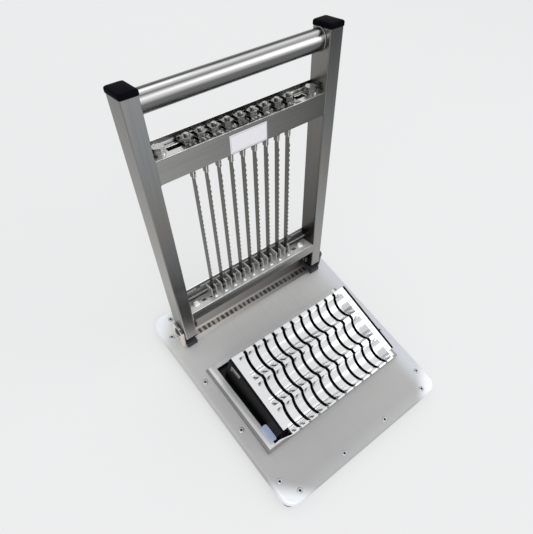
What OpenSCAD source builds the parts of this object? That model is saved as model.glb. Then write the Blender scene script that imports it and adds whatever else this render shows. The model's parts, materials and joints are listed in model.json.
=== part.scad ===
// Roll cutter: a blade frame that folds down over a slotted cradle.
// +X is right, +Y is back, +Z is up. All lengths are in millimetres.

/* [Deck] */
// Distance from the back of the hinge bracket to the back edge of the deck
deck_back = 33; // [28:0.5:40]
// Thickness of the deck sheet
deck_t = 2; // [1.5:0.1:2.5]
// Radius of the corners of the deck
deck_corner_r = 20; // [12:1:24]
// Radius of the rolled edge of the deck
deck_edge_r = 5; // [2.5:0.5:7]
// Height of the folded edge below the sheet
deck_skirt_h = 8; // [4:0.5:10]

/* [Base frame] */
// Height of the bars under the deck
bar_h = 14; // [12:0.5:20]
// Width of the bars under the deck
bar_w = 20; // [16:0.5:22]
// Gap between the flange of the tray and the bars
bar_room = 6; // [5:0.5:12]
// Gap between the bars and the folded edge of the deck
bar_gap = 2; // [1:0.5:3]
// Height of a rubber foot
foot_h = 6; // [4:0.5:12]
// Diameter of a rubber foot
foot_d = 24; // [18:1:28]
// Step between deck screws along the sides
side_screw_step = 92.3; // [80:0.1:96]
// Step between deck screws along the front and back
end_screw_step = 90; // [80:0.5:94]
// Diameter of a deck screw's head
deck_head_d = 9; // [7:0.1:10]
// Height of a deck screw's head
deck_head_h = 1.2; // [0.8:0.1:2]
// Diameter of a deck screw's shank
deck_shank_d = 5; // [4:0.1:6]
// Length of a deck screw's shank
deck_shank_l = 11; // [8:0.5:12]
// Diameter of a foot screw's head
foot_head_d = 9; // [7:0.1:12]
// Height of a foot screw's head
foot_head_h = 2; // [1.5:0.1:2.5]
// Diameter of a foot screw's shank
foot_shank_d = 4; // [3:0.1:5]
// Length of a foot screw's shank
foot_shank_l = 12; // [8:0.5:14]
// Depth of a foot screw's head above the floor
foot_head_rise = 0.8; // [0.5:0.1:1.2]

/* [Well] */
// Distance from the back edge of the cradle to the back edge of the rim
rim_back_room = 21.5; // [16:0.5:26]
// Width of the rim's side strips
rim_side_w = 16; // [14:0.5:18]
// Width of the rim's front and back strips
rim_end_w = 7.5; // [6:0.5:9]
// Height of the rim above the deck at the front
rim_front_h = 6; // [4:0.1:7]
// Height of the rim above the deck at the back
rim_back_h = 1.5; // [1:0.1:3]
// How far the rim laps over the opening of the deck
rim_lap = 2; // [1:0.5:3]
// Thickness of the tray's sheet
tray_t = 1.5; // [1:0.1:2]
// Depth of the tray, from the deck's underside to the top of its floor
tray_depth = 6.5; // [5:0.5:9]
// Width of the tray's flange
tray_flange_w = 9; // [6:0.5:10]

/* [Cradle] */
// Back edge of the cradle, from the middle of the deck
cradle_back_y = 39.5; // [36:0.5:44]
// Height of the cradle's back lip above the deck
cradle_back_h = 54.8; // [52:0.1:58]
// Slope of the cradle, down to the front
cradle_tilt = 5.55; // [4:0.05:6]
// Width of one trough between its lips
trough_w = 39.7; // [38.8:0.1:40]
// Depth of one trough
trough_depth = 12; // [10:0.5:14]
// Width of the ridge between two troughs
ridge_w = 6; // [5.5:0.1:6.4]
// Width of the back lip
back_lip_w = 6; // [5:0.1:6.5]
// Width of the front lip
front_lip_w = 2.5; // [2.4:0.1:3]
// Thickness of the trough sheet
trough_t = 1.5; // [1:0.1:1.8]
// Width of a gap between two fingers
finger_gap = 5; // [4.8:0.1:6]
// Distance of the end troughs' outer ends inside the uprights' inner sides
end_trough_in = 15; // [12:0.5:20]
// Distance of the end plates' inner faces inside the uprights' inner sides
end_plate_in = 7; // [6.5:0.5:9]
// Thickness of the end plates
end_plate_t = 4; // [3:0.5:4.5]
// Thickness of the supports under the ridges and the back lip
support_t = 3.6; // [3:0.1:3.8]
// Thickness of the leaning front wall
front_wall_t = 1.5; // [1:0.1:1.5]
// Distance of the front wall's foot behind the front strip of the rim
front_wall_room = 3.5; // [3.2:0.1:6]
// How far the wing beside the front wall drops to its outer end
front_wing_drop = 27; // [20:0.5:28]
// Clearance between the front wall and the end plates
cradle_clear = 0.3; // [0.2:0.05:0.6]
// Height of the gaps' floor above the deck, in the supports and the front wall
gap_floor_h = 16; // [14:0.5:17]
// Thickness of a clip on an end plate
clip_t = 2; // [1.5:0.1:2.2]
// Height of a clip
clip_h = 7; // [5:0.5:9]
// Length of a clip, front to back
clip_w = 20; // [14:0.5:24]
// Width of the prong at a clip's back end
clip_prong_w = 3; // [2:0.1:5]
// Length of the prong at a clip's back end
clip_prong_l = 5; // [2:0.5:8]
// Distance of a clip's middle from the back edge of its plate
clip_inset = 19.5; // [14:0.5:24]
// Height of a clip above the deck
clip_rise = 43; // [30:0.5:43]

/* [Pivot and stops] */
// Distance of the pivot behind the middle of the deck
pivot_y = 130; // [128:0.5:134]
// Height of the pivot above the deck
pivot_h = 24.5; // [24:0.1:26]
// Lean of the frame, back from upright, at rest
frame_lean = 17.5; // [12:0.5:20]
// Thickness of the hinge bracket's strip
strip_t = 2.5; // [2:0.1:3]
// Depth of the strip, front to back
strip_d = 34; // [32:0.5:38]
// Thickness of an ear
ear_t = 3; // [2.5:0.1:4]
// Height of an ear's flat top above the pivot
ear_r = 10; // [9:0.5:12]
// Width of an ear's upper part
ear_w = 28; // [24:0.5:32]
// Radius of the corners of an ear
ear_corner_r = 5; // [3:0.5:7]
// Height of an ear's straight ends above the deck
ear_side_h = 10; // [4:0.5:16]
// Length of the slot low in an ear
ear_slot_l = 9; // [6:0.5:10]
// Height of the slot low in an ear
ear_slot_h = 5.5; // [4:0.5:7]
// Distance of the slot behind the front end of an ear
ear_slot_in = 11; // [4:0.5:14]
// Diameter of the pivot bolt
pivot_bolt_d = 8; // [7:0.1:9]
// Diameter of the pivot bolt's round head
pivot_head_d = 15; // [12:0.1:17]
// Height of the pivot bolt's round head
pivot_head_h = 3; // [2:0.1:5]
// Width across the flats of the pivot nut
pivot_hex = 13; // [12:0.1:15]
// Height of the pivot nut
pivot_nut_h = 6.2; // [5:0.1:7]
// Length of bolt that shows past the nut
pivot_bolt_end = 2.5; // [1:0.1:4]
// Outer diameter of the bush in an upright
bush_d = 12; // [11:0.1:13]
// Diameter of the bush's flange
bush_flange_d = 16; // [14:0.1:18]
// Thickness of the bush's flange
bush_flange_t = 1.2; // [1:0.1:1.4]
// Radial running clearance between the bolt and the bush
pivot_clear = 0.05; // [0.02:0.01:0.1]
// Side clearance between the fixed and the swinging pieces
side_clear = 0.3; // [0.2:0.05:0.6]
// Width of a stop block, along the hinge
stop_w = 18; // [14:0.5:20]
// How far a stop block reaches in front of the strip
stop_front = 5; // [3:0.5:6]
// How far a stop block reaches behind the strip
stop_back = 2; // [0:0.5:6]
// Clearance between a stop block and the foot that it stops
stop_clear = 0.3; // [0.2:0.05:0.6]
// Distance of a landing pad inside the inner side of its upright
pad_in = 2.5; // [0:0.1:2.6]
// Width of a landing pad
pad_w = 9.5; // [8:0.5:14]
// Length of a landing pad
pad_l = 27; // [20:0.5:36]
// Radius of the corners of a landing pad
pad_corner_r = 3; // [1:0.5:4.5]
// Clearance between a landing pad and the lowered frame
pad_clear = 0.3; // [0.2:0.05:0.6]

/* [Frame] */
// Distance from the outer blades to the inner sides of the uprights
end_room = 48; // [44:0.5:56]
// Width of an upright, along the hinge
tube_w = 20; // [18:0.5:22]
// Depth of an upright, front to back
tube_d = 30; // [28:0.5:31]
// Wall of an upright
tube_t = 1.5; // [1.2:0.1:2.5]
// Radius of an upright's edges
tube_r = 2; // [1.8:0.1:3]
// Length of an upright above the pivot, with its cap
upright_up = 324.5; // [318:0.5:330]
// Length of an upright below the pivot, with its cap
upright_down = 11; // [10:0.5:12]
// Thickness of a top cap
top_cap_t = 5.2; // [3.5:0.1:5.2]
// Height of the sloped edge round a top cap
cap_edge_h = 2; // [1:0.1:3]
// How far a top cap stands out past its upright
cap_over = 0.8; // [0.2:0.1:1]
// Thickness of a bottom cap
bottom_cap_t = 1.5; // [1:0.1:2]
// Length of a cap's plug inside its tube
cap_plug_l = 2.5; // [2:0.1:2.8]
// Clearance of a cap's plug in its tube
cap_clear = 0.1; // [0.05:0.05:0.3]
// Diameter of the handle
handle_d = 22; // [20:0.5:24]
// Wall of the handle
handle_t = 2; // [1.5:0.1:4]
// Distance of the handle's middle below the top of the uprights
handle_drop = 16.5; // [16.5:0.5:24]
// Distance of the handle's middle behind the middle of the uprights
handle_back = 3; // [0:0.5:4]

/* [Upper member] */
// Distance of the upper channel's underside below the handle's middle
handle_room = 74.5; // [72:0.5:80]
// Height of the upper channel's front flange
upper_front_h = 25.1; // [23:0.1:28]
// Height of the upper channel's back flange
upper_back_h = 32.5; // [30:0.5:36]
// Thickness of the channels' sheet
channel_t = 2; // [1.5:0.1:2.5]
// Thickness of the slotted plate
plate_t = 5; // [4:0.1:6]
// Width of the groove behind the slotted plate
plate_groove_w = 1; // [0.6:0.1:1.5]
// Thickness of the strip behind the groove
plate_strip_t = 2; // [1.5:0.1:2.5]
// Height of the strip above the slotted plate
plate_strip_rise = 3; // [2:0.1:5]
// Width of the long slot in the plate
plate_slot_w = 8; // [7:0.1:9]
// Distance of the slot's ends inside the uprights' inner sides
plate_slot_in = 22; // [22:0.5:28]
// Distance of the upper end bolts inside the uprights' inner sides
upper_bolt_in = 12; // [10.5:0.1:12.5]
// Diameter of the upper end bolts
upper_bolt_d = 8; // [7:0.1:9]
// Width across the flats of the upper end bolts' heads
upper_bolt_hex = 13; // [12:0.1:16]
// Height of the upper end bolts' heads
upper_bolt_head_h = 5.3; // [4:0.1:7]
// Diameter of the washers under the upper end bolts
upper_washer_d = 17; // [15:0.1:19]
// Thickness of all washers of the upper member
washer_t = 1.6; // [1:0.1:2.5]
// Height of the nuts inside the members
end_nut_h = 6; // [5:0.1:7]

/* [Tension stacks] */
// Step between two blades
blade_step = 18; // [17.6:0.1:18.2]
// Width of a square washer
stack_washer_w = 14; // [12:0.1:16]
// Width across the flats of a tension nut
stack_hex = 13; // [10:0.1:14]
// Height of a tension nut
stack_nut_h = 4.5; // [3:0.1:6]
// Diameter of a fork's stem
stem_d = 6; // [5:0.1:6.5]
// Length of stem that shows above its nut
stem_end = 2.5; // [1:0.1:5]
// Height of a fork below the channel
fork_h = 14; // [12:0.5:15]
// Depth of a fork at its top, front to back
fork_top_w = 10; // [8:0.5:12]
// Depth of a fork at its tip, front to back
fork_tip_w = 7; // [6.5:0.1:9]
// Width of a fork over its prongs at the top, along the hinge
fork_head_w = 9; // [8:0.1:11]
// Width of a fork over its prongs at the tip, along the hinge
fork_t = 4; // [3:0.1:4.2]
// Thickness of a fork's prong and head
prong_t = 1.4; // [1:0.1:1.8]
// Clearance beside a blade in its fork, and round pins, stems and screws
pin_clear = 0.1; // [0.05:0.01:0.15]
// Gap between a fork and the channel above it
fork_gap = 0.5; // [0.3:0.1:1]

/* [Blades] */
// Width of a blade, without its teeth
blade_w = 7; // [6:0.1:7.4]
// Thickness of a blade
blade_t = 1; // [0.6:0.1:1.2]
// Step between two teeth
tooth_step = 6.5; // [4:0.1:9]
// Depth of a tooth
tooth_depth = 2; // [0.5:0.1:2.2]
// Plain length at each end of a blade, without teeth
blade_plain = 15; // [13:0.5:20]
// Diameter of a blade's pins
blade_pin_d = 2.4; // [2:0.1:3]
// Distance from a blade's end to its pin
blade_pin_end = 4.5; // [3.5:0.1:5.5]
// Outer diameter of the spacers beside a blade's lower end
spacer_d = 6; // [5:0.1:7]

/* [Lower member] */
// Underside of the lower channel above the pivot, along the frame
lower_u = 20; // [19:0.5:21]
// Height of the lower channel's front flange
lower_front_h = 15; // [14:0.5:16]
// Height of the lower channel's back flange
lower_back_h = 34; // [30:0.5:36]
// Thickness of the lower front bar
front_bar_t = 5; // [4:0.1:6]
// Distance of the front bar's back edge behind the middle of the frame
front_bar_back = 9; // [8.6:0.1:9.4]
// Thickness of the back bar
back_bar_t = 3; // [2:0.1:3.2]
// Height of the back bar
back_bar_h = 16; // [12:0.5:18]
// Gap between the back bar's ends and the uprights
back_bar_in = 4; // [1:0.5:10]
// Diameter of the threaded rod
rod_d = 5; // [4:0.1:5]
// Gap between the threaded rod and the back bar
rod_gap = 0.9; // [0.6:0.1:1.1]
// Height of the rod above the front bar
rod_rise = 8; // [6:0.1:10]
// Width of a holder, along the hinge
holder_w = 10; // [9:0.1:11]
// Height of a holder above the front bar
holder_h = 15; // [13:0.5:18]
// Thickness of a holder's sheet
holder_t = 1.5; // [1:0.1:2]
// Distance of a holder's front edge in front of the middle of the frame
holder_front = 4.5; // [4:0.1:5]
// Gap between a holder and the back bar
holder_gap = 0.1; // [0.1:0.1:0.4]
// Length of a holder's tab in front of its sides
holder_tab = 7; // [6:0.1:8]
// Diameter of a holder screw's head
holder_head_d = 6; // [5:0.1:7]
// Height of a holder screw's head
holder_head_h = 1.8; // [1:0.1:3]
// Diameter of a holder screw's shank
holder_shank_d = 3; // [2:0.1:3.5]
// Distance of the lower end bolts inside the uprights' inner sides
lower_bolt_in = 16; // [14:0.5:18]
// Diameter of the lower end bolts
lower_bolt_d = 8; // [6:0.1:8.5]
// Diameter of the lower end bolts' round heads
lower_bolt_head_d = 14; // [12:0.1:15]
// Height of the lower end bolts' round heads
lower_bolt_head_h = 4; // [3:0.1:5]
// Width across the flats of the lower end nuts
lower_bolt_hex = 13; // [10:0.1:14]
// Distance of the square holes inside the uprights' inner sides
square_hole_in = 30; // [28:0.5:31]
// Width of the square holes
square_hole_w = 7; // [5:0.1:8]

/* [Hidden] */

$fn = 48;
eps = 1;
blade_count = 9;
gap_count = blade_count + 2;
trough_count = 3;

steel_grey = [0.62, 0.62, 0.60];
bright_steel = [0.83, 0.84, 0.85];
tube_grey = [0.48, 0.47, 0.45];
handle_steel = [0.66, 0.64, 0.60];
black_part = [0.08, 0.08, 0.09];
pad_blue = [0.50, 0.58, 0.67];

// Heights of the base
deck_top = foot_h + bar_h + deck_t;
deck_under = deck_top - deck_t;
tray_floor_z = deck_under - tray_depth;
pivot_z = deck_top + pivot_h;
pad_top_z = pivot_z - tube_d / 2 - pad_clear;
gap_floor_z = deck_top + gap_floor_h;

// Widths that follow the blades, from the middle outwards
tube_x = (blade_count - 1) / 2 * blade_step + end_room;
end_trough_x = tube_x - end_trough_in;
end_plate_x = tube_x - end_plate_in;
pad_x = tube_x - pad_in;
upper_bolt_x = tube_x - upper_bolt_in;
plate_slot_x = tube_x - plate_slot_in;
lower_bolt_x = tube_x - lower_bolt_in;
square_hole_x = tube_x - square_hole_in;
back_bar_x = tube_x - back_bar_in;
rim_half_w = tube_x + tube_w;
rim_in_x = rim_half_w - rim_side_w;
well_x = rim_in_x + rim_lap;
deck_w = 2 * (well_x + tray_flange_w + bar_room + bar_w + bar_gap + deck_t);
deck_d = 2 * (pivot_y + strip_d / 2 + deck_back);

// Bars and screws
bar_out_x = deck_w / 2 - deck_t - bar_gap;
bar_out_y = deck_d / 2 - deck_t - bar_gap;
screw_x = bar_out_x - bar_w / 2;
screw_y = bar_out_y - bar_w / 2;
bar_corner_r = deck_corner_r - deck_t - bar_gap;

// Cradle
trough_r = (pow(trough_w / 2, 2) + pow(trough_depth, 2)) / (2 * trough_depth);
cradle_l = back_lip_w + trough_count * trough_w + (trough_count - 1) * ridge_w + front_lip_w;
cradle_back_z = deck_top + cradle_back_h;
finger_w = blade_step - finger_gap;
gap_end_x = (gap_count - 1) / 2 * blade_step + finger_gap / 2;
cradle_front_y = cradle_back_y - cradle_l * cos(cradle_tilt);
sheet_drop = trough_t / cos(cradle_tilt);

// Rim and opening of the deck, inside the tray
rim_front_y = cradle_front_y;
rim_back_y = cradle_back_y + rim_back_room;
rim_in_front = rim_front_y + rim_end_w;
rim_in_back = rim_back_y - rim_end_w;
well_front = rim_in_front - rim_lap;
well_back = rim_in_back + rim_lap;

// The front wall leans forward from its foot inside the rim to the front lip
wall_foot_y = rim_in_front + front_wall_room;
wall_top_z = lip_z(cradle_front_y) - sheet_drop;
pad_front_y = wall_foot_y + cradle_clear;
wing_x = tube_x - 2 * side_clear;
wing_z = wall_top_z - front_wing_drop;
end_front_y = wall_foot_y + front_wall_t + cradle_clear;

// Frame
handle_u = upright_up - handle_drop;
upper_u = handle_u - handle_room;
ear_x = tube_x + tube_w + bush_flange_t + side_clear;
strip_front = pivot_y - strip_d / 2;
strip_back = pivot_y + strip_d / 2;
foot_reach = sqrt(pow(tube_d / 2, 2) + pow(upright_down, 2));
upper_plate_u = upper_u + upper_front_h - plate_t;
upper_top_u = upper_u + upper_front_h;
stack_nut_u = upper_top_u + washer_t;
stem_top_u = stack_nut_u + stack_nut_h + stem_end;
fork_top_u = upper_u - fork_gap;
fork_tip_u = fork_top_u - fork_h;
blade_top_u = fork_top_u - fork_h / 4;
lower_top_u = lower_u + lower_front_h;
lower_bar_u = lower_top_u - front_bar_t;
holder_base_u = lower_top_u + holder_t;
blade_low_u = holder_base_u + 1.5;
blade_l = blade_top_u - blade_low_u;
rod_u = lower_top_u + rod_rise;
member_in = tube_d / 2 - channel_t;
back_bar_front = member_in - back_bar_t;
rod_back = back_bar_front - rod_gap - rod_d / 2;
holder_back = back_bar_front - holder_gap;

// The origin is under the middle of the whole object's box
frame_back_y = pivot_y + (tube_d / 2 + cap_over) * cos(frame_lean)
    + (upright_up - cap_edge_h) * sin(frame_lean);
shift_y = -(frame_back_y - deck_d / 2) / 2;

function blade_x(i) = (i - (blade_count + 1) / 2) * blade_step;
function gap_x(j) = (j - (gap_count + 1) / 2) * blade_step;
function lip_z(y) = cradle_back_z - (cradle_back_y - y) * tan(cradle_tilt);
function rim_top_z(y) = deck_top + rim_back_h
    + (rim_front_h - rim_back_h) * (rim_back_y - y) / (rim_back_y - rim_front_y);
function trough_mid(k) = back_lip_w + trough_w / 2 + (k - 1) * (trough_w + ridge_w);
function ridge_y(k) = cradle_back_y
    - (trough_mid(k) + trough_w / 2 + ridge_w / 2) * cos(cradle_tilt);

// General shapes
module placed() { translate([0, shift_y, 0]) children(); }
module side_of(s) { mirror([s < 0 ? 1 : 0, 0, 0]) children(); }
module on_frame() { translate([0, pivot_y, pivot_z]) rotate([-frame_lean, 0, 0]) children(); }
module on_cradle() {
    translate([0, cradle_back_y, cradle_back_z]) rotate([cradle_tilt, 0, 0]) children();
}

// A profile drawn in Y and Z, carried along X from x1 to x2
module along_x(x1, x2) {
    translate([x1, 0, 0]) rotate([90, 0, 90]) linear_extrude(x2 - x1) children();
}

// A profile drawn in X and along the frame, carried front to back by half of w each way
module across_frame(w) {
    translate([0, w / 2, 0]) rotate([90, 0, 0]) linear_extrude(w) children();
}

// A cylinder along X from x1 to x2
module rod_x(x1, x2, d, sides = 48) {
    translate([x1, 0, 0]) rotate([0, 90, 0]) cylinder(h = x2 - x1, d = d, $fn = sides);
}

module hexagon(flats, h) { rotate([0, 0, 30]) cylinder(h = h, d = flats / cos(30), $fn = 6); }

module rounded_rect(w, d, r) {
    square([w - 2 * r, d], center = true);
    square([w, d - 2 * r], center = true);
    for (sx = [-1, 1], sy = [-1, 1])
        translate([sx * (w / 2 - r), sy * (d / 2 - r)]) circle(r = r);
}

module box(x1, x2, y1, y2, z1, z2) {
    translate([x1, y1, z1]) cube([x2 - x1, y2 - y1, z2 - z1]);
}

// Places of the deck screws
module at_deck_screws() {
    for (i = [-1.5:1:1.5], s = [-1, 1]) {
        translate([s * screw_x, i * side_screw_step, 0]) children();
        translate([i * end_screw_step, s * screw_y, 0]) children();
    }
}

module at_feet() {
    for (sx = [-1, 1], sy = [-1, 1]) translate([sx * screw_x, sy * screw_y, 0]) children();
}

// The deck's outside: straight sides, then a quarter round up to the flat top
module rolled_plate() {
    low_z = deck_under - deck_skirt_h;
    hull() {
        translate([0, 0, low_z]) linear_extrude(deck_top - deck_edge_r - low_z)
            rounded_rect(deck_w, deck_d, deck_corner_r);
        for (a = [30, 60, 89]) {
            inset = deck_edge_r * (1 - cos(a));
            translate([0, 0, low_z]) linear_extrude(deck_top - deck_edge_r * (1 - sin(a)) - low_z)
                rounded_rect(deck_w - 2 * inset, deck_d - 2 * inset, deck_corner_r - inset);
        }
    }
}

// Base
module deck_plate() {
    color(steel_grey) difference() {
        rolled_plate();
        translate([0, 0, deck_under - deck_skirt_h - eps]) linear_extrude(deck_skirt_h + eps)
            rounded_rect(deck_w - 2 * deck_t, deck_d - 2 * deck_t, deck_corner_r - deck_t);
        box(-well_x, well_x, well_front, well_back, deck_under - eps, deck_top + eps);
        at_deck_screws() translate([0, 0, deck_under - eps])
            cylinder(h = deck_t + 2 * eps, d = deck_shank_d + 2 * pin_clear);
    }
}

module deck_screws() {
    color(bright_steel) at_deck_screws() {
        translate([0, 0, deck_top]) cylinder(h = deck_head_h, d1 = deck_head_d, d2 = deck_head_d * 0.7);
        translate([0, 0, deck_top - deck_shank_l]) cylinder(h = deck_shank_l, d = deck_shank_d);
    }
}

module base_frame() {
    color(black_part) difference() {
        translate([0, 0, foot_h]) linear_extrude(bar_h) difference() {
            rounded_rect(2 * bar_out_x, 2 * bar_out_y, bar_corner_r);
            square([2 * (bar_out_x - bar_w), 2 * (bar_out_y - bar_w)], center = true);
        }
        at_deck_screws() translate([0, 0, deck_top - deck_shank_l - eps])
            cylinder(h = deck_shank_l + eps, d = deck_shank_d + 2 * pin_clear);
        at_feet() translate([0, 0, foot_h - eps])
            cylinder(h = foot_screw_top_z() - foot_h + eps + pin_clear, d = foot_shank_d + 2 * pin_clear);
    }
}

function foot_screw_top_z() = foot_head_rise + foot_head_h + foot_shank_l;

module base_feet() {
    color(black_part) at_feet() difference() {
        cylinder(h = foot_h, d1 = foot_d - 2, d2 = foot_d);
        translate([0, 0, -eps]) cylinder(h = foot_head_rise + foot_head_h + eps, d = foot_head_d + 1);
        cylinder(h = foot_h + eps, d = foot_shank_d + 2 * pin_clear);
    }
}

module foot_screws() {
    color(bright_steel) at_feet() {
        translate([0, 0, foot_head_rise]) cylinder(h = foot_head_h, d = foot_head_d);
        translate([0, 0, foot_head_rise]) cylinder(h = foot_head_h + foot_shank_l, d = foot_shank_d);
    }
}

module well_tray() {
    color(black_part) {
        difference() {
            box(-well_x - tray_t, well_x + tray_t, well_front - tray_t, well_back + tray_t,
                tray_floor_z - tray_t, deck_under);
            box(-well_x, well_x, well_front, well_back, tray_floor_z, deck_under + eps);
        }
        difference() {
            box(-well_x - tray_flange_w, well_x + tray_flange_w,
                well_front - tray_flange_w, well_back + tray_flange_w, deck_under - tray_t, deck_under);
            box(-well_x - tray_t / 2, well_x + tray_t / 2, well_front - tray_t / 2,
                well_back + tray_t / 2, deck_under - tray_t - eps, deck_under + eps);
        }
    }
}

module rim_profile() {
    polygon([[rim_front_y, deck_top], [rim_back_y, deck_top],
        [rim_back_y, rim_top_z(rim_back_y)], [rim_front_y, rim_top_z(rim_front_y)]]);
}

module well_rim() {
    color(steel_grey) difference() {
        along_x(-rim_half_w, rim_half_w) rim_profile();
        difference() {
            box(-rim_in_x, rim_in_x, rim_in_front, rim_in_back, deck_top - eps, deck_top + rim_front_h + eps);
            for (s = [-1, 1]) side_of(s)
                box(pad_x, rim_in_x + eps, pad_front_y, pad_front_y + pad_l,
                    deck_top, deck_top + rim_front_h + 2 * eps);
        }
    }
}

module landing_pad(s) {
    color(pad_blue) side_of(s) intersection() {
        along_x(pad_x, pad_x + pad_w) polygon([
            [pad_front_y, rim_top_z(pad_front_y)], [pad_front_y + pad_l, rim_top_z(pad_front_y + pad_l)],
            [pad_front_y + pad_l, pad_top_z], [pad_front_y, pad_top_z]]);
        translate([pad_x + pad_w / 2, pad_front_y + pad_l / 2, deck_top]) linear_extrude(pivot_h)
            rounded_rect(pad_w, pad_l, pad_corner_r);
    }
}

// Cradle: one wavy sheet, cut into fingers by the gaps for the blades
module trough_sheet() {
    difference() {
        union() {
            translate([-cradle_l, -trough_t]) square([cradle_l, trough_t]);
            trough_bellies();
        }
        for (k = [1:trough_count])
            translate([-trough_mid(k), trough_r - trough_depth]) circle(r = trough_r, $fn = 96);
    }
}

// The filled shape of each trough, below the lips
module trough_bellies() {
    intersection() {
        for (k = [1:trough_count])
            translate([-trough_mid(k), trough_r - trough_depth]) circle(r = trough_r + trough_t, $fn = 96);
        translate([-cradle_l, -2 * trough_depth]) square([cradle_l, 2 * trough_depth]);
    }
}

module trough_fingers() {
    color(bright_steel) on_cradle() for (j = [1:gap_count - 1])
        along_x(gap_x(j) + finger_gap / 2, gap_x(j) + finger_gap / 2 + finger_w) trough_sheet();
}

module end_trough(s) {
    flange_l = (cradle_back_y - end_front_y) / cos(cradle_tilt);
    color(bright_steel) side_of(s) on_cradle() {
        along_x(gap_end_x, end_trough_x) trough_sheet();
        along_x(end_trough_x - trough_t, end_trough_x) trough_bellies();
        along_x(end_trough_x - trough_t, end_plate_x)
            translate([-flange_l, -trough_t]) square([flange_l, trough_t]);
    }
}

module cradle_end(s) {
    color(black_part) side_of(s) along_x(end_plate_x, end_plate_x + end_plate_t) polygon([
        [cradle_back_y, tray_floor_z], [cradle_back_y, lip_z(cradle_back_y)],
        [end_front_y, lip_z(end_front_y)], [end_front_y, tray_floor_z]]);
}

// A bar across the cradle between y1 and y2, up to the underside of the sheet
module comb_bar(y1, y2) {
    difference() {
        along_x(-end_plate_x, end_plate_x) polygon([
            [y1, tray_floor_z], [y2, tray_floor_z], [y2, lip_z(y2) - sheet_drop], [y1, lip_z(y1) - sheet_drop]]);
        comb_gaps(y1, y2);
    }
}

// The gaps for the blades, cut down to their floor between y1 and y2
module comb_gaps(y1, y2) {
    for (j = [1:gap_count])
        box(gap_x(j) - finger_gap / 2, gap_x(j) + finger_gap / 2, y1 - eps, y2 + eps,
            gap_floor_z, cradle_back_z + eps);
}

module cradle_back_support() {
    color(black_part) comb_bar(cradle_back_y - support_t, cradle_back_y);
}

module cradle_ridge_supports() {
    color(black_part) for (k = [1:trough_count - 1])
        comb_bar(ridge_y(k) - support_t / 2, ridge_y(k) + support_t / 2);
}

// A leaning comb under the front lip, with a wing beside each end that drops to the rim
module cradle_front_wall() {
    y2 = cradle_front_y + front_wall_t;
    foot_back_y = wall_foot_y + front_wall_t;
    color(bright_steel) intersection() {
        difference() {
            along_x(-wing_x, wing_x) polygon([
                [wall_foot_y, tray_floor_z], [foot_back_y, tray_floor_z],
                [y2, lip_z(y2) - sheet_drop], [cradle_front_y, wall_top_z]]);
            comb_gaps(cradle_front_y, foot_back_y);
        }
        translate([0, foot_back_y + eps, 0]) rotate([90, 0, 0])
            linear_extrude(foot_back_y - cradle_front_y + 2 * eps) polygon([
                [-wing_x, tray_floor_z - eps], [wing_x, tray_floor_z - eps], [wing_x, wing_z],
                [end_trough_x, wall_top_z], [end_trough_x, cradle_back_z],
                [-end_trough_x, cradle_back_z], [-end_trough_x, wall_top_z], [-wing_x, wing_z]]);
    }
}

module cradle_clips() {
    prong_y = clip_w / 2 - clip_prong_w;
    color(bright_steel) for (s = [-1, 1]) side_of(s)
        translate([0, cradle_back_y - clip_inset, deck_top + clip_rise])
        along_x(end_plate_x + end_plate_t, end_plate_x + end_plate_t + clip_t) polygon([
            [-clip_w / 2, 0], [prong_y, 0], [prong_y, -clip_prong_l], [clip_w / 2, -clip_prong_l],
            [clip_w / 2, clip_h], [-clip_w / 2, clip_h]]);
}

// Hinge
module ear_profile() {
    difference() {
        union() {
            polygon([[strip_front, deck_top], [strip_back, deck_top], [strip_back, deck_top + ear_side_h],
                [pivot_y + ear_w / 2, pivot_z], [pivot_y - ear_w / 2, pivot_z],
                [strip_front, deck_top + ear_side_h]]);
            translate([pivot_y, pivot_z]) rounded_rect(ear_w, 2 * ear_r, ear_corner_r);
        }
        translate([pivot_y, pivot_z]) circle(d = pivot_bolt_d + 2 * pin_clear);
        translate([strip_front + ear_slot_in, deck_top + strip_t + ear_slot_h / 2])
            square([ear_slot_l, ear_slot_h]);
    }
}

module hinge_bracket() {
    color(bright_steel) {
        box(-ear_x - ear_t, ear_x + ear_t, strip_front, strip_back, deck_top, deck_top + strip_t);
        for (s = [-1, 1]) side_of(s) along_x(ear_x, ear_x + ear_t) ear_profile();
    }
}

// The block lies under the foot of an upright, and is cut clear of the swing of its corners
module stop_block(s) {
    back_corner_y = tube_d / 2 * cos(frame_lean) - upright_down * sin(frame_lean);
    back_corner_z = tube_d / 2 * sin(frame_lean) + upright_down * cos(frame_lean);
    top_z = pivot_z - back_corner_z - stop_clear;
    front_top_z = pad_top_z - 0.7;
    front_y = strip_front - stop_front;
    back_y = strip_back + stop_back;
    step_y = pivot_y + back_corner_y / 2;
    color(black_part) side_of(s) difference() {
        along_x(tube_x + tube_w - stop_w, tube_x + tube_w) polygon([
            [front_y, deck_top], [strip_front, deck_top], [strip_front, deck_top + strip_t],
            [strip_back, deck_top + strip_t], [strip_back, deck_top], [back_y, deck_top],
            [back_y, top_z], [step_y, top_z], [step_y, front_top_z],
            [front_y + 2, front_top_z], [front_y, front_top_z - 2]]);
        translate([0, pivot_y, pivot_z])
            rod_x(tube_x, tube_x + tube_w + eps, 2 * (foot_reach + stop_clear), 96);
    }
}

module pivot_bolt(s) {
    nut_end = tube_x - side_clear - pivot_nut_h;
    color(steel_grey) side_of(s) translate([0, pivot_y, pivot_z]) {
        rod_x(nut_end - pivot_bolt_end, ear_x + ear_t + eps, pivot_bolt_d);
        translate([ear_x + ear_t, 0, 0]) rotate([0, 90, 0]) round_head(pivot_head_d, pivot_head_h);
    }
}

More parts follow.
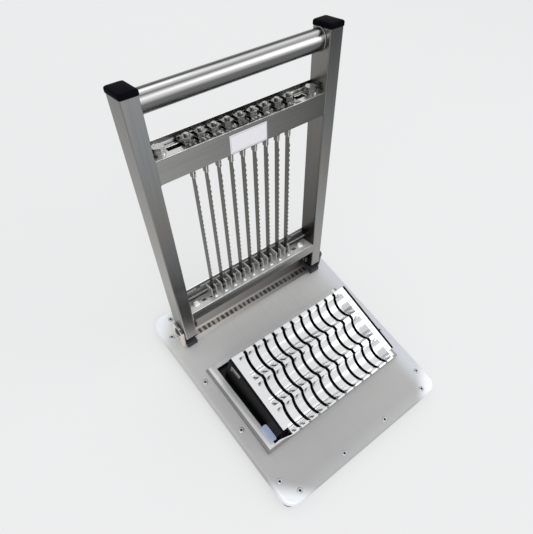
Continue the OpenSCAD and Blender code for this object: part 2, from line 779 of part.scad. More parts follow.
module pivot_nut(s) {
    color(steel_grey) side_of(s)
        translate([tube_x - side_clear - pivot_nut_h, pivot_y, pivot_z]) rotate([0, 90, 0])
        difference() {
            hexagon(pivot_hex, pivot_nut_h);
            translate([0, 0, -eps]) cylinder(h = pivot_nut_h + 2 * eps, d = pivot_bolt_d + 2 * pin_clear);
        }
}

// Blade frame
module pivot_bush(s) {
    color(handle_steel) side_of(s) on_frame() difference() {
        union() {
            rod_x(tube_x, tube_x + tube_w + bush_flange_t, bush_d);
            rod_x(tube_x + tube_w, tube_x + tube_w + bush_flange_t, bush_flange_d);
        }
        rod_x(tube_x - eps, tube_x + tube_w + 2 * eps, pivot_bolt_d + 2 * pivot_clear);
    }
}

module upright(s) {
    low_u = -upright_down + bottom_cap_t;
    high_u = upright_up - top_cap_t;
    color(tube_grey) side_of(s) on_frame() difference() {
        translate([tube_x + tube_w / 2, 0, low_u]) linear_extrude(high_u - low_u) difference() {
            rounded_rect(tube_w, tube_d, tube_r);
            square([tube_w - 2 * tube_t, tube_d - 2 * tube_t], center = true);
        }
        rod_x(tube_x - eps, tube_x + tube_w + eps, bush_d + 2 * pin_clear);
    }
}

module tube_plug(length) {
    play = 2 * (tube_t + cap_clear);
    linear_extrude(length) square([tube_w - play, tube_d - play], center = true);
}

module top_cap(s) {
    color(black_part) side_of(s) on_frame()
        translate([tube_x + tube_w / 2, 0, upright_up - top_cap_t]) {
            hull() {
                linear_extrude(top_cap_t - cap_edge_h)
                    rounded_rect(tube_w + 2 * cap_over, tube_d + 2 * cap_over, tube_r + cap_over);
                linear_extrude(top_cap_t) rounded_rect(tube_w - cap_edge_h, tube_d - cap_edge_h, tube_r);
            }
            translate([0, 0, -cap_plug_l]) tube_plug(cap_plug_l + eps);
        }
}

module bottom_cap(s) {
    color(black_part) side_of(s) on_frame()
        translate([tube_x + tube_w / 2, 0, -upright_down]) {
            linear_extrude(bottom_cap_t) rounded_rect(tube_w, tube_d, tube_r);
            tube_plug(cap_plug_l);
        }
}

module handle_tube() {
    color(handle_steel) on_frame() translate([0, handle_back, handle_u]) difference() {
        rod_x(-tube_x, tube_x, handle_d, 64);
        rod_x(-tube_x - eps, tube_x + eps, handle_d - 2 * handle_t, 64);
    }
}

// A channel with its web at u, open upwards
module channel(u, front_h, back_h) {
    along_x(-tube_x, tube_x) polygon([
        [-tube_d / 2, u], [tube_d / 2, u], [tube_d / 2, u + back_h], [member_in, u + back_h],
        [member_in, u + channel_t], [-member_in, u + channel_t], [-member_in, u + front_h],
        [-tube_d / 2, u + front_h]]);
}

module upper_channel() {
    color(steel_grey) on_frame() difference() {
        channel(upper_u, upper_front_h, upper_back_h);
        for (i = [1:blade_count]) translate([blade_x(i), 0, upper_u - eps])
            cylinder(h = channel_t + 2 * eps, d = stem_d + 2 * pin_clear);
    }
}

module upper_slot_plate() {
    plate_back = member_in - plate_strip_t - plate_groove_w;
    color(bright_steel) on_frame() difference() {
        union() {
            box(-tube_x, tube_x, -member_in, plate_back, upper_plate_u, upper_top_u);
            box(-tube_x, tube_x, member_in - plate_strip_t, member_in,
                upper_plate_u, upper_top_u + plate_strip_rise);
        }
        box(-plate_slot_x, plate_slot_x, -plate_slot_w / 2, plate_slot_w / 2,
            upper_plate_u - eps, upper_top_u + eps);
        for (s = [-1, 1]) translate([s * upper_bolt_x, 0, upper_plate_u - eps])
            cylinder(h = plate_t + 2 * eps, d = upper_bolt_d + 2 * pin_clear);
    }
}

module upper_end_bolts() {
    color(bright_steel) on_frame() for (s = [-1, 1]) translate([s * upper_bolt_x, 0, upper_top_u]) {
        cylinder(h = washer_t, d = upper_washer_d);
        translate([0, 0, washer_t]) hexagon(upper_bolt_hex, upper_bolt_head_h);
        translate([0, 0, -plate_t - end_nut_h]) cylinder(h = plate_t + end_nut_h + eps, d = upper_bolt_d);
    }
}

module end_nut(flats, hole_d) {
    translate([0, 0, -end_nut_h]) difference() {
        hexagon(flats, end_nut_h);
        translate([0, 0, -eps]) cylinder(h = end_nut_h + 2 * eps, d = hole_d + 2 * pin_clear);
    }
}

module member_end_nuts() {
    color(steel_grey) on_frame() for (s = [-1, 1]) {
        translate([s * upper_bolt_x, 0, upper_plate_u]) end_nut(upper_bolt_hex, upper_bolt_d);
        translate([s * lower_bolt_x, 0, lower_bar_u]) end_nut(lower_bolt_hex, lower_bolt_d);
    }
}

// A fork hangs on its stem, and its two prongs close in on the end of a blade
module tension_fork(i) {
    slot_x = blade_t / 2 + pin_clear;
    head_u = fork_top_u - prong_t;
    close_u = blade_top_u - blade_pin_end + blade_pin_d;
    translate([blade_x(i), 0, 0]) {
        difference() {
            intersection() {
                along_x(-fork_head_w / 2, fork_head_w / 2) polygon([
                    [-fork_tip_w / 2, fork_tip_u], [fork_tip_w / 2, fork_tip_u],
                    [fork_top_w / 2, fork_top_u], [-fork_top_w / 2, fork_top_u]]);
                across_frame(fork_top_w) polygon([
                    [-fork_t / 2, fork_tip_u], [fork_t / 2, fork_tip_u], [fork_t / 2, close_u],
                    [fork_head_w / 2, head_u], [fork_head_w / 2, fork_top_u],
                    [-fork_head_w / 2, fork_top_u], [-fork_head_w / 2, head_u], [-fork_t / 2, close_u]]);
            }
            across_frame(fork_top_w + eps) polygon([
                [-slot_x, fork_tip_u - eps], [slot_x, fork_tip_u - eps], [slot_x, close_u],
                [fork_head_w / 2 - prong_t, head_u], [prong_t - fork_head_w / 2, head_u],
                [-slot_x, close_u]]);
            translate([0, 0, blade_top_u - blade_pin_end])
                rod_x(-fork_t, fork_t, blade_pin_d + 2 * pin_clear, 24);
        }
        translate([0, 0, head_u + prong_t / 2]) cylinder(h = stem_top_u - head_u - prong_t / 2, d = stem_d);
    }
}

module tension_forks() {
    color(bright_steel) on_frame() for (i = [1:blade_count]) tension_fork(i);
}

module tension_washers() {
    color(bright_steel) on_frame() for (i = [1:blade_count]) translate([blade_x(i), 0, upper_top_u])
        linear_extrude(washer_t) difference() {
            square(stack_washer_w, center = true);
            circle(d = stem_d + 2 * pin_clear);
        }
}

module tension_nuts() {
    color(bright_steel) on_frame() for (i = [1:blade_count]) translate([blade_x(i), 0, stack_nut_u])
        difference() {
            hexagon(stack_hex, stack_nut_h);
            translate([0, 0, -eps]) cylinder(h = stack_nut_h + 2 * eps, d = stem_d + 2 * pin_clear);
        }
}

// A toothed strip with a pin hole at each end
module blade(i) {
    tooth_room = blade_l - 2 * blade_plain;
    teeth = floor(tooth_room / tooth_step);
    first = blade_low_u + (blade_l - teeth * tooth_step) / 2;
    edge = -blade_w / 2;
    color(bright_steel) on_frame() translate([blade_x(i), 0, 0]) difference() {
        along_x(-blade_t / 2, blade_t / 2) polygon(concat(
            [[-edge, blade_low_u], [-edge, blade_top_u], [edge, blade_top_u]],
            [for (k = [teeth:-1:1], part = [0, 1])
                [edge - part * tooth_depth, first + (k - part / 2) * tooth_step]],
            [[edge, first], [edge, blade_low_u]]));
        for (u = [blade_low_u + blade_pin_end, blade_top_u - blade_pin_end])
            translate([0, 0, u]) rod_x(-blade_t, blade_t, blade_pin_d + 2 * pin_clear, 24);
    }
}

module blade_pins() {
    color(steel_grey) on_frame() for (i = [1:blade_count]) translate([blade_x(i), 0, 0]) {
        translate([0, 0, blade_low_u + blade_pin_end]) rod_x(-holder_w / 2, holder_w / 2, blade_pin_d, 24);
        translate([0, 0, blade_top_u - blade_pin_end]) rod_x(-fork_t / 2, fork_t / 2, blade_pin_d, 24);
    }
}

module blade_spacers() {
    x1 = blade_t / 2 + pin_clear;
    x2 = holder_w / 2 - holder_t - pin_clear;
    color(steel_grey) on_frame() for (i = [1:blade_count], s = [-1, 1])
        translate([blade_x(i), 0, blade_low_u + blade_pin_end]) side_of(s) difference() {
            rod_x(x1, x2, spacer_d, 24);
            rod_x(x1 - eps, x2 + eps, blade_pin_d + 2 * pin_clear, 24);
        }
}

module lower_channel() {
    color(steel_grey) on_frame() channel(lower_u, lower_front_h, lower_back_h);
}

module lower_front_bar() {
    color(bright_steel) on_frame() difference() {
        box(-tube_x, tube_x, -member_in, front_bar_back, lower_bar_u, lower_top_u);
        for (s = [-1, 1]) {
            translate([s * lower_bolt_x, 0, lower_bar_u - eps])
                cylinder(h = front_bar_t + 2 * eps, d = lower_bolt_d + 2 * pin_clear);
            translate([s * square_hole_x, 0, lower_bar_u + front_bar_t / 2])
                cube([square_hole_w, square_hole_w, front_bar_t + 2 * eps], center = true);
        }
        for (i = [1:blade_count]) translate([blade_x(i), -holder_front - holder_tab / 2, lower_bar_u - eps])
            cylinder(h = front_bar_t + 2 * eps, d = holder_shank_d + 2 * pin_clear, $fn = 24);
    }
}

module lower_back_bar() {
    color(bright_steel) on_frame() difference() {
        box(-back_bar_x, back_bar_x, back_bar_front, member_in,
            lower_top_u, lower_top_u + back_bar_h);
        for (s = [-1, 1]) translate([s * square_hole_x, member_in - back_bar_t / 2, lower_top_u + back_bar_h])
            cube([square_hole_w, back_bar_t + 2 * eps, square_hole_w], center = true);
    }
}

module lower_rod() {
    color(steel_grey) on_frame() translate([0, rod_back, rod_u]) rod_x(-tube_x, tube_x, rod_d, 32);
}

// A folded holder: a tab under a screw and two upright sides round the end of a blade
module lower_holder(i) {
    translate([blade_x(i), 0, 0]) difference() {
        union() {
            box(-holder_w / 2, holder_w / 2, -holder_front - holder_tab, holder_back,
                lower_top_u, holder_base_u);
            for (s = [-1, 1]) side_of(s)
                box(holder_w / 2 - holder_t, holder_w / 2, -holder_front, holder_back,
                    lower_top_u, lower_top_u + holder_h);
        }
        translate([0, rod_back, rod_u]) rod_x(-holder_w, holder_w, rod_d + 2 * pin_clear, 32);
        translate([0, 0, blade_low_u + blade_pin_end])
            rod_x(-holder_w, holder_w, blade_pin_d + 2 * pin_clear, 24);
        translate([0, -holder_front - holder_tab / 2, lower_top_u - eps])
            cylinder(h = holder_t + 2 * eps, d = holder_shank_d + 2 * pin_clear, $fn = 24);
    }
}

module lower_holders() {
    color(steel_grey) on_frame() for (i = [1:blade_count]) lower_holder(i);
}

module lower_holder_screws() {
    color(bright_steel) on_frame() for (i = [1:blade_count])
        translate([blade_x(i), -holder_front - holder_tab / 2, holder_base_u]) {
            cylinder(h = holder_head_h, d = holder_head_d, $fn = 32);
            translate([0, 0, -holder_t - front_bar_t])
                cylinder(h = holder_t + front_bar_t + holder_head_h / 2, d = holder_shank_d, $fn = 24);
        }
}

// A low round head is a slice of a ball
module round_head(d, h) {
    r = (pow(d / 2, 2) + h * h) / (2 * h);
    intersection() {
        translate([0, 0, h - r]) sphere(r = r);
        cylinder(h = h, d = d);
    }
}

module lower_end_bolts() {
    color(bright_steel) on_frame() for (s = [-1, 1]) translate([s * lower_bolt_x, 0, lower_top_u]) {
        round_head(lower_bolt_head_d, lower_bolt_head_h);
        translate([0, 0, -front_bar_t - end_nut_h])
            cylinder(h = front_bar_t + end_nut_h + lower_bolt_head_h / 2, d = lower_bolt_d);
    }
}

placed() deck_plate();
placed() deck_screws();
placed() base_frame();
placed() base_feet();
placed() foot_screws();
placed() well_tray();
placed() well_rim();
placed() trough_fingers();
placed() end_trough(-1);  // end_trough_left
placed() end_trough(1);  // end_trough_right
placed() cradle_end(-1);  // cradle_end_left
placed() cradle_end(1);  // cradle_end_right
placed() cradle_back_support();
placed() cradle_ridge_supports();
placed() cradle_front_wall();
placed() cradle_clips();
placed() landing_pad(-1);  // landing_pad_left
placed() landing_pad(1);  // landing_pad_right
placed() hinge_bracket();
placed() stop_block(-1);  // stop_block_left
placed() stop_block(1);  // stop_block_right
placed() pivot_bolt(-1);  // pivot_bolt_left
placed() pivot_bolt(1);  // pivot_bolt_right
placed() pivot_nut(-1);  // pivot_nut_left
placed() pivot_nut(1);  // pivot_nut_right
placed() pivot_bush(-1);  // pivot_bush_left
placed() pivot_bush(1);  // pivot_bush_right
placed() upright(-1);  // upright_left
placed() upright(1);  // upright_right
placed() top_cap(-1);  // top_cap_left
placed() top_cap(1);  // top_cap_right
placed() bottom_cap(-1);  // bottom_cap_left
placed() bottom_cap(1);  // bottom_cap_right
placed() handle_tube();
placed() upper_channel();
placed() upper_slot_plate();
placed() upper_end_bolts();
placed() member_end_nuts();
placed() tension_forks();
placed() tension_washers();
placed() tension_nuts();
placed() blade(1);  // blade_1
placed() blade(2);  // blade_2
placed() blade(3);  // blade_3
placed() blade(4);  // blade_4
placed() blade(5);  // blade_5
placed() blade(6);  // blade_6
placed() blade(7);  // blade_7
placed() blade(8);  // blade_8
placed() blade(9);  // blade_9
placed() blade_pins();
placed() blade_spacers();
placed() lower_channel();
placed() lower_front_bar();
placed() lower_back_bar();
placed() lower_rod();
placed() lower_holders();
placed() lower_holder_screws();
placed() lower_end_bolts();
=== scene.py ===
"""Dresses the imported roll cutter: finishes, small surfaces, lights, floor and camera."""

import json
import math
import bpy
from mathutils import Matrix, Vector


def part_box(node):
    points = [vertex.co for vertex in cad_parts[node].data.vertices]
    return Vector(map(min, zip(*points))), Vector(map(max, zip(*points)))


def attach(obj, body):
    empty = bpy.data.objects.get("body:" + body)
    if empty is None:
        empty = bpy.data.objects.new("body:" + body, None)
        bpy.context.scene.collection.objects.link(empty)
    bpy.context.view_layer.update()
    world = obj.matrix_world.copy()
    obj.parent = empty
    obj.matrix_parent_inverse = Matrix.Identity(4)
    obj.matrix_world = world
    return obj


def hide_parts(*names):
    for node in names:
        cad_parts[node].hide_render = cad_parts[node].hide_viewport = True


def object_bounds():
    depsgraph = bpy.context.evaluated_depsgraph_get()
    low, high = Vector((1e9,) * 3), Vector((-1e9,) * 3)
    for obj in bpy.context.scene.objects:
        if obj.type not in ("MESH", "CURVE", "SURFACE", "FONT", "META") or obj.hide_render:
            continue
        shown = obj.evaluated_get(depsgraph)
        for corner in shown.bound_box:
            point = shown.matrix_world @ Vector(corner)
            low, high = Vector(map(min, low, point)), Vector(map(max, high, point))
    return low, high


bl_info = {
    "name": "Roll Cutter Finishes",
    "version": (1, 0, 0),
    "blender": (4, 5, 0),
    "location": "View3D > Sidebar > Cutter",
    "description": "Adds the metal finishes, threads, screw heads, caps and stage of a roll cutter",
    "category": "Object",
}

import bmesh
import bpy
import numpy as np
from bpy.props import FloatProperty, FloatVectorProperty, PointerProperty
from mathutils import Matrix, Vector

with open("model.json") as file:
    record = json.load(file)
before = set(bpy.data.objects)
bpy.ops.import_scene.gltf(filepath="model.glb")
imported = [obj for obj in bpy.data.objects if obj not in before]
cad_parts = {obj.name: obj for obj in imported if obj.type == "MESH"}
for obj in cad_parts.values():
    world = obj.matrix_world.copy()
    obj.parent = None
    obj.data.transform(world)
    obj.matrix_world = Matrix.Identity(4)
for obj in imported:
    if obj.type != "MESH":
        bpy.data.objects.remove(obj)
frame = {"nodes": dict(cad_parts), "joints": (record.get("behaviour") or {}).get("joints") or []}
CAD_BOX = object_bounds()
NODES = frame["nodes"]
JOINT = frame["joints"][0]

MM = 0.001
# The picture's width and height in pixels, and the width of the camera's sensor in millimetres
PHOTO_W = 533.0
PHOTO_H = 534.0
SENSOR = 36.0
# The share of a surface's colour that comes back from the pale room
ROOM = 0.855

# Tints of steel, from cool to warm
COOL = (0.955, 0.99, 1.0)
CLEAR = (0.99, 0.99, 1.0)
PLAIN = (1.0, 1.0, 1.0)
MILD = (1.0, 1.0, 0.96)
WARM = (1.0, 0.975, 0.93)
SANDY = (1.0, 0.97, 0.90)
AMBER = (1.0, 0.945, 0.88)

# The blade frame leans back from upright about its hinge line. OUTWARD and UPWARD are the row frame's
# directions out to its front and up along its uprights.
LEAN = math.radians(17.5)
PIVOT = np.array(JOINT["pos_m"], float)
OUTWARD = (0.0, -math.cos(LEAN), math.sin(LEAN))
UPWARD = (0.0, math.sin(LEAN), math.cos(LEAN))


# Coordinates on the blade frame: x along the hinge, out to the front, up along the uprights
def to_row(points):
    """Turns points (x, out, up) of the blade frame into the row frame.

    Row y = pivot y + up sin(lean) - out cos(lean), and
    row z = pivot z + up cos(lean) + out sin(lean)."""
    x, out, up = np.moveaxis(np.asarray(points, float), -1, 0)
    y = PIVOT[1] + up * math.sin(LEAN) - out * math.cos(LEAN)
    z = PIVOT[2] + up * math.cos(LEAN) + out * math.sin(LEAN)
    return np.stack([x, y, z], -1)


def box_on_frame(name):
    """The lowest and the highest (x, out, up) of a node's points, to a thousandth of a millimetre.

    It turns the points the other way round from to_row: with y and z from the pivot,
    out = z sin(lean) - y cos(lean), and up = y sin(lean) + z cos(lean)."""
    vertices = NODES[name].data.vertices
    flat = np.empty(3 * len(vertices))
    vertices.foreach_get("co", flat)
    x, y, z = (flat.reshape(-1, 3) - PIVOT).T
    points = np.stack([x, z * math.sin(LEAN) - y * math.cos(LEAN), y * math.sin(LEAN) + z * math.cos(LEAN)])
    return np.round(points.min(1), 6), np.round(points.max(1), 6)


def middle_on_frame(name):
    """The middle of a node's box on the blade frame, as x, out and up."""
    low, high = box_on_frame(name)
    return ((low + high) / 2).tolist()


BLADES = sorted(name for name in NODES if name.removeprefix("blade_").isdigit())
BLADE_X = [middle_on_frame(name)[0] for name in BLADES]
BLADE_STEP = BLADE_X[1] - BLADE_X[0]

# Painted light of the finishes: two or three round screen greys, each with its place in millimetres, that
# stand for highlights, reflections and shade
UPRIGHT_PAINTED_LIGHT = {
    "left": {
        "front": [(0, 200), (90, 90), (325, 140)],
        "side": [(0, 110), (90, 150), (325, 110)]},
    "right": {
        "front": [(0, 150), (325, 70)],
        "side": [(0, 60), (325, 120)]}}
UPPER_MEMBER_PAINTED_LIGHT = [(-120, 140), (120, 80)]
LOWER_MEMBER_PAINTED_LIGHT = [(-120, 100), (120, 140)]
BACK_BAR_PAINTED_SHADE = [(-120, 140), (120, 70)]
HINGE_STRIP_PAINTED_LIGHT = [(-124, 220), (124, 100)]
# Round the handle, in degrees from its front up over its top: painted shade on its underside, two painted
# highlight lines over a middle grey, and a painted dark reflection line behind them
HANDLE_PAINTED_LIGHT = [(-180, 110), (-90, 60), (0, 110), (25, 250), (40, 110), (60, 250), (75, 30), (100, 110),
                (180, 110)]

# Each lamp's place, width and power
LAMPS = {
    "key": ((-0.9, -1.1, 1.7), 1.1, 10.0),
    "fill": ((1.3, -0.5, 1.2), 1.2, 4.0),
    "back": ((0.3, 1.5, 1.5), 1.2, 4.0)}


# Meshes from grids of points
def grid_faces(rows, columns):
    """Quads between the rows of a grid, with the last column joined to the first."""
    r = np.arange(rows - 1)[:, None]
    c = np.arange(columns)[None, :]
    n = (c + 1) % columns
    quads = np.stack([r * columns + c, r * columns + n, (r + 1) * columns + n, (r + 1) * columns + c], -1)
    return quads.reshape(-1, 4)


def band_mesh(points):
    """Vertices and faces of a band whose last ring of points lies on its first."""
    rows, columns, _ = points.shape
    return points.reshape(-1, 3), grid_faces(rows, columns).tolist()


def tube_mesh(points):
    """Vertices and faces of a closed tube: rings of points, with both ends fanned to their middles."""
    rows, columns, _ = points.shape
    ends = np.stack([points[0].mean(0), points[-1].mean(0)])
    verts = np.concatenate([points.reshape(-1, 3), ends])
    faces = grid_faces(rows, columns).tolist()
    first, last = rows * columns, rows * columns + 1
    top = (rows - 1) * columns
    around = np.arange(columns)
    after = (around + 1) % columns
    faces += np.stack([after, around, np.full(columns, first)], -1).tolist()
    faces += np.stack([top + around, top + after, np.full(columns, last)], -1).tolist()
    return verts, faces


def joined(parts):
    """Joins (vertices, faces) pairs into one pair."""
    verts, faces, base = [], [], 0
    for part_verts, part_faces in parts:
        verts.append(part_verts)
        faces += [[i + base for i in face] for face in part_faces]
        base += len(part_verts)
    return np.concatenate(verts), faces


def make_piece(name, parts, body, material, smooth=True):
    """One object from (vertices, faces) pairs in the row frame, riding on a body."""
    verts, faces = joined(parts)
    mesh = bpy.data.meshes.new(name)
    mesh.from_pydata(verts.tolist(), [], faces)
    mesh.validate()
    piece = bpy.data.objects.new(name, mesh)
    bpy.context.scene.collection.objects.link(piece)
    mesh.polygons.foreach_set("use_smooth", np.full(len(mesh.polygons), smooth))
    mesh.materials.append(material)
    turn_outwards(mesh)
    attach(piece, body)
    return piece


def turn_outwards(mesh):
    """Turns the faces of a mesh to point out of it."""
    work = bmesh.new()
    work.from_mesh(mesh)
    bmesh.ops.recalc_face_normals(work, faces=work.faces)
    work.to_mesh(mesh)
    work.free()


def round_angles(count):
    """Angles once round a circle, as a row that leaves out the last one, which is the first again."""
    return np.linspace(0, 2 * math.pi, count, endpoint=False)[None, :]


def rounded_ring(width, height, radius, count=64):
    """A rounded rectangle's outline: each corner is a quarter circle of the given radius.

    The angle runs once round, a quarter of the points on each corner."""
    angle = np.linspace(0, math.pi / 2, count // 4)
    turns = np.arange(4)[:, None] * math.pi / 2 + angle[None, :]
    corner_x = np.array([1, -1, -1, 1])[:, None] * (width / 2 - radius)
    corner_y = np.array([1, 1, -1, -1])[:, None] * (height / 2 - radius)
    x = corner_x + radius * np.cos(turns)
    y = corner_y + radius * np.sin(turns)
    return np.stack([x.ravel(), y.ravel()], -1)


# Shader maths
class Number:
    """A number socket. Each operator adds one Math node and returns its output."""

    def __init__(self, nodes, socket):
        self.nodes = nodes
        self.socket = socket

    def __add__(self, other):
        return self.nodes.maths("ADD", self, other)

    def __radd__(self, other):
        return self.nodes.maths("ADD", other, self)

    def __sub__(self, other):
        return self.nodes.maths("SUBTRACT", self, other)

    def __rsub__(self, other):
        return self.nodes.maths("SUBTRACT", other, self)

    def __mul__(self, other):
        return self.nodes.maths("MULTIPLY", self, other)

    def __rmul__(self, other):
        return self.nodes.maths("MULTIPLY", other, self)

    def __truediv__(self, other):
        return self.nodes.maths("DIVIDE", self, other)

    def __rtruediv__(self, other):
        return self.nodes.maths("DIVIDE", other, self)

    def size(self):
        """The number without its sign."""
        return self.nodes.maths("ABSOLUTE", self)

    def least(self, other):
        """The smaller of two numbers."""
        return self.nodes.maths("MINIMUM", self, other)

    def most(self, other):
        """The larger of two numbers."""
        return self.nodes.maths("MAXIMUM", self, other)

    def between(self, low, high):
        """0 below low, 1 above high, and a smooth step in the middle."""
        node = self.nodes.node("ShaderNodeMapRange", {"interpolation_type": "SMOOTHSTEP"},
                               {"Value": self, "From Min": low, "From Max": high})
        return Number(self.nodes, node.outputs["Result"])


class Nodes:
    """A tree of shader nodes. Every node comes from its one method for them."""

    def __init__(self, tree):
        self.tree = tree

    def node(self, kind, settings=None, sockets=None):
        """Adds a node: its settings are set first, and then the values or links of its sockets."""
        node = self.tree.nodes.new(kind)
        for name, value in (settings or {}).items():
            if name == "stops":
                self.set_stops(node.color_ramp, value)
            else:
                setattr(node, name, value)
        for name, value in (sockets or {}).items():
            self.put(node.inputs[name], value)
        return node

    def put(self, socket, value):
        """Links a number or an output to a socket, or gives the socket a plain value."""
        if isinstance(value, Number):
            value = value.socket
        if isinstance(value, bpy.types.NodeSocket):
            self.tree.links.new(value, socket)
        else:
            socket.default_value = value

    def set_stops(self, ramp, stops):
        """Gives a colour ramp its stops, each a (share of the way, colour) pair."""
        while len(ramp.elements) < len(stops):
            ramp.elements.new(0.5)
        for element, (place, colour) in zip(ramp.elements, stops):
            element.position = place
            element.color = colour

    def maths(self, operation, first, second=0.0):
        """A Math node on one or two numbers."""
        node = self.node("ShaderNodeMath", {"operation": operation}, {0: first, 1: second})
        return Number(self, node.outputs[0])


class Finish(Nodes):
    """One material, with its patterns laid out in object coordinates."""

    def __init__(self, name):
        self.material = bpy.data.materials.new(name)
        self.material.use_nodes = True
        super().__init__(self.material.node_tree)
        self.shader = self.tree.nodes["Principled BSDF"]

    def coordinates(self, turn=0.0):
        """Object coordinates, turned about X."""
        place = self.node("ShaderNodeTexCoord").outputs["Object"]
        if not turn:
            return place
        return self.node("ShaderNodeMapping", {}, {"Vector": place, "Rotation": (turn, 0, 0)}).outputs[0]

    def axes(self, turn=0.0):
        """Numbers x, y and z of the object coordinates, turned about X."""
        split = self.node("ShaderNodeSeparateXYZ", {}, {"Vector": self.coordinates(turn)})
        return [Number(self, split.outputs[i]) for i in range(3)]

    def frame_axes(self):
        """Numbers x, out and up on the blade frame, measured from its pivot."""
        x, y, z = self.axes(LEAN)
        pivot_y = float(PIVOT[1] * math.cos(LEAN) - PIVOT[2] * math.sin(LEAN))
        pivot_up = float(PIVOT[1] * math.sin(LEAN) + PIVOT[2] * math.cos(LEAN))
        return x, pivot_y - y, z - pivot_up

    def cosine(self, direction):
        """The cosine between the surface's own normal and a direction of the row frame."""
        normal = self.node("ShaderNodeTexCoord").outputs["Normal"]
        node = self.node("ShaderNodeVectorMath", {"operation": "DOT_PRODUCT"}, {0: normal, 1: direction})
        return Number(self, node.outputs["Value"])

    def facing(self, direction):
        """1 on the faces that point in a direction of the row frame, and 0 on the others."""
        return self.cosine(direction).between(0.5, 0.9)

    def noise(self, waves, detail=3.0, rough=0.5, turn=0.0):
        """Noise with so many waves to the metre: one number, or one for each turned axis."""
        scale = (waves, waves, waves) if isinstance(waves, float) else waves
        waved = self.node("ShaderNodeMapping", {}, {"Vector": self.coordinates(turn), "Scale": scale})
        node = self.node("ShaderNodeTexNoise", {}, {"Vector": waved.outputs[0], "Scale": 1.0,
                                                    "Detail": detail, "Roughness": rough})
        return Number(self, node.outputs["Fac"])

    def tones(self, place, stops, tint, unit=MM):
        """A colour that follows greys along a number. Each stop is a (place in units, grey) pair."""
        first, last = stops[0][0], stops[-1][0]
        ramp = [((at - first) / (last - first), opaque(grey(value, tint))) for at, value in stops]
        share = (place - first * unit) / ((last - first) * unit)
        return self.node("ShaderNodeValToRGB", {"stops": ramp}, {"Fac": share}).outputs["Color"]

    def dim(self, colour, factor):
        """A colour times a number."""
        node = self.node("ShaderNodeMix", {"data_type": "RGBA", "blend_type": "MULTIPLY"},
                         {0: 1.0, 6: colour, 7: factor})
        return node.outputs[2]

    def blend(self, factor, first, second):
        """A mix of two colours: the first where the factor is 0, and the second where it is 1."""
        node = self.node("ShaderNodeMix", {"data_type": "RGBA"},
                         {0: factor, 6: opaque(first), 7: opaque(second)})
        return node.outputs[2]

    def bump(self, height, strength, distance=0.1 * MM):
        """Lifts the surface's shading by a height times a distance."""
        node = self.node("ShaderNodeBump", {},
                         {"Height": height, "Strength": strength, "Distance": distance})
        self.put(self.shader.inputs["Normal"], node.outputs[0])

    def set(self, **values):
        """Gives the shader's sockets values or links, by their names with _ for each space."""
        for name, value in values.items():
            self.put(self.shader.inputs[name.replace("_", " ")], value)


def opaque(colour):
    """A colour of three numbers with an alpha of 1 behind them. A linked colour stays as it is."""
    return colour if isinstance(colour, bpy.types.NodeSocket) else (*colour, 1.0)


def shade(colour, factor):
    """A colour times a number, no brighter than 1."""
    return tuple(min(1.0, c * factor) for c in colour)


def grey(value, tint=PLAIN):
    """The linear colour of a screen grey from 0 to 255, as a bright room shows it on metal."""
    linear = ((value / 255 + 0.055) / 1.055) ** 2.4 / ROOM
    return tuple(min(1.0, linear * t) for t in tint)


# Base colours: each gives a function that adds the colour's nodes to a finish
def cloudy(colour, cloud=0.12):
    """Slow clouds round one colour."""
    def base(finish):
        clouds = finish.noise(9.0, 2.0)
        return finish.blend(clouds, shade(colour, 1 - cloud), shade(colour, 1 + cloud))
    return base


def upright_painted_greys(front, side):
    """Painted light up an upright: greys of painted highlights, reflections and shade, one list for its
    front and back, and one for its sides.

    Both drift slowly between a warmer and a cooler tint."""
    def base(finish):
        _, _, up = finish.frame_axes()
        # Painted shade: the side faces follow their own greys, apart from the front
        sides = finish.cosine((1.0, 0.0, 0.0)).size().between(0.5, 0.9)
        drift = finish.noise((7.0, 7.0, 12.0), 2.0).between(0.40, 0.60)
        ahead = finish.blend(drift, finish.tones(up, front, WARM), finish.tones(up, front, COOL))
        aside = finish.blend(drift, finish.tones(up, side, SANDY), finish.tones(up, side, WARM))
        return finish.blend(sides, ahead, aside)
    return base


def member_painted_shading(front, rest, top):
    """Painted light of a cross member: greys of painted reflections and shade along its front, one grey for
    its lit top, and one for the rest.
    """
    def base(finish):
        x, _, _ = finish.frame_axes()
        # Painted highlight on the upper faces, and painted reflections and shade along the front
        other = finish.blend(finish.facing(UPWARD), grey(rest), grey(top))
        return finish.blend(finish.facing(OUTWARD), other, finish.tones(x, front, MILD))
    return base


def slot_plate_painted_shade(light, dark):
    """Light ends, and painted shade, mottled, in the middle where the nuts crowd the plate."""
    def base(finish):
        x, _, _ = finish.frame_axes()
        crowd = BLADE_X[-1] + 8 * MM
        middle = 1 - x.size().between(crowd, crowd + 4 * MM)
        # Painted shade in mottled spots between the crowded nuts
        spots = finish.noise((260.0, 160.0, 160.0), 3.0, 0.6, LEAN)
        return finish.blend(middle * spots.between(0.36, 0.50), grey(light), grey(dark))
    return base


def handle_painted_greys(rings):
    """Painted highlights and shade round the handle, by the angle in degrees from its front. They fade a
    little to the right.
    """
    def base(finish):
        x, out, up = finish.frame_axes()
        _, middle_out, middle_up = middle_on_frame("handle_tube")
        angle = finish.maths("ARCTAN2", up - middle_up, out - middle_out) * math.degrees(1)
        # The painted highlights and shade fade a little to the right
        return finish.dim(finish.tones(angle, rings, CLEAR, 1.0), 0.90 - x * 0.6)
    return base


# Finishes
def streak_waves(along, across_waves, along_waves=6.0):
    """Waves to the metre of brushing: few along one axis, and many along the other two."""
    return tuple(along_waves if axis == along else across_waves for axis in "XYZ")


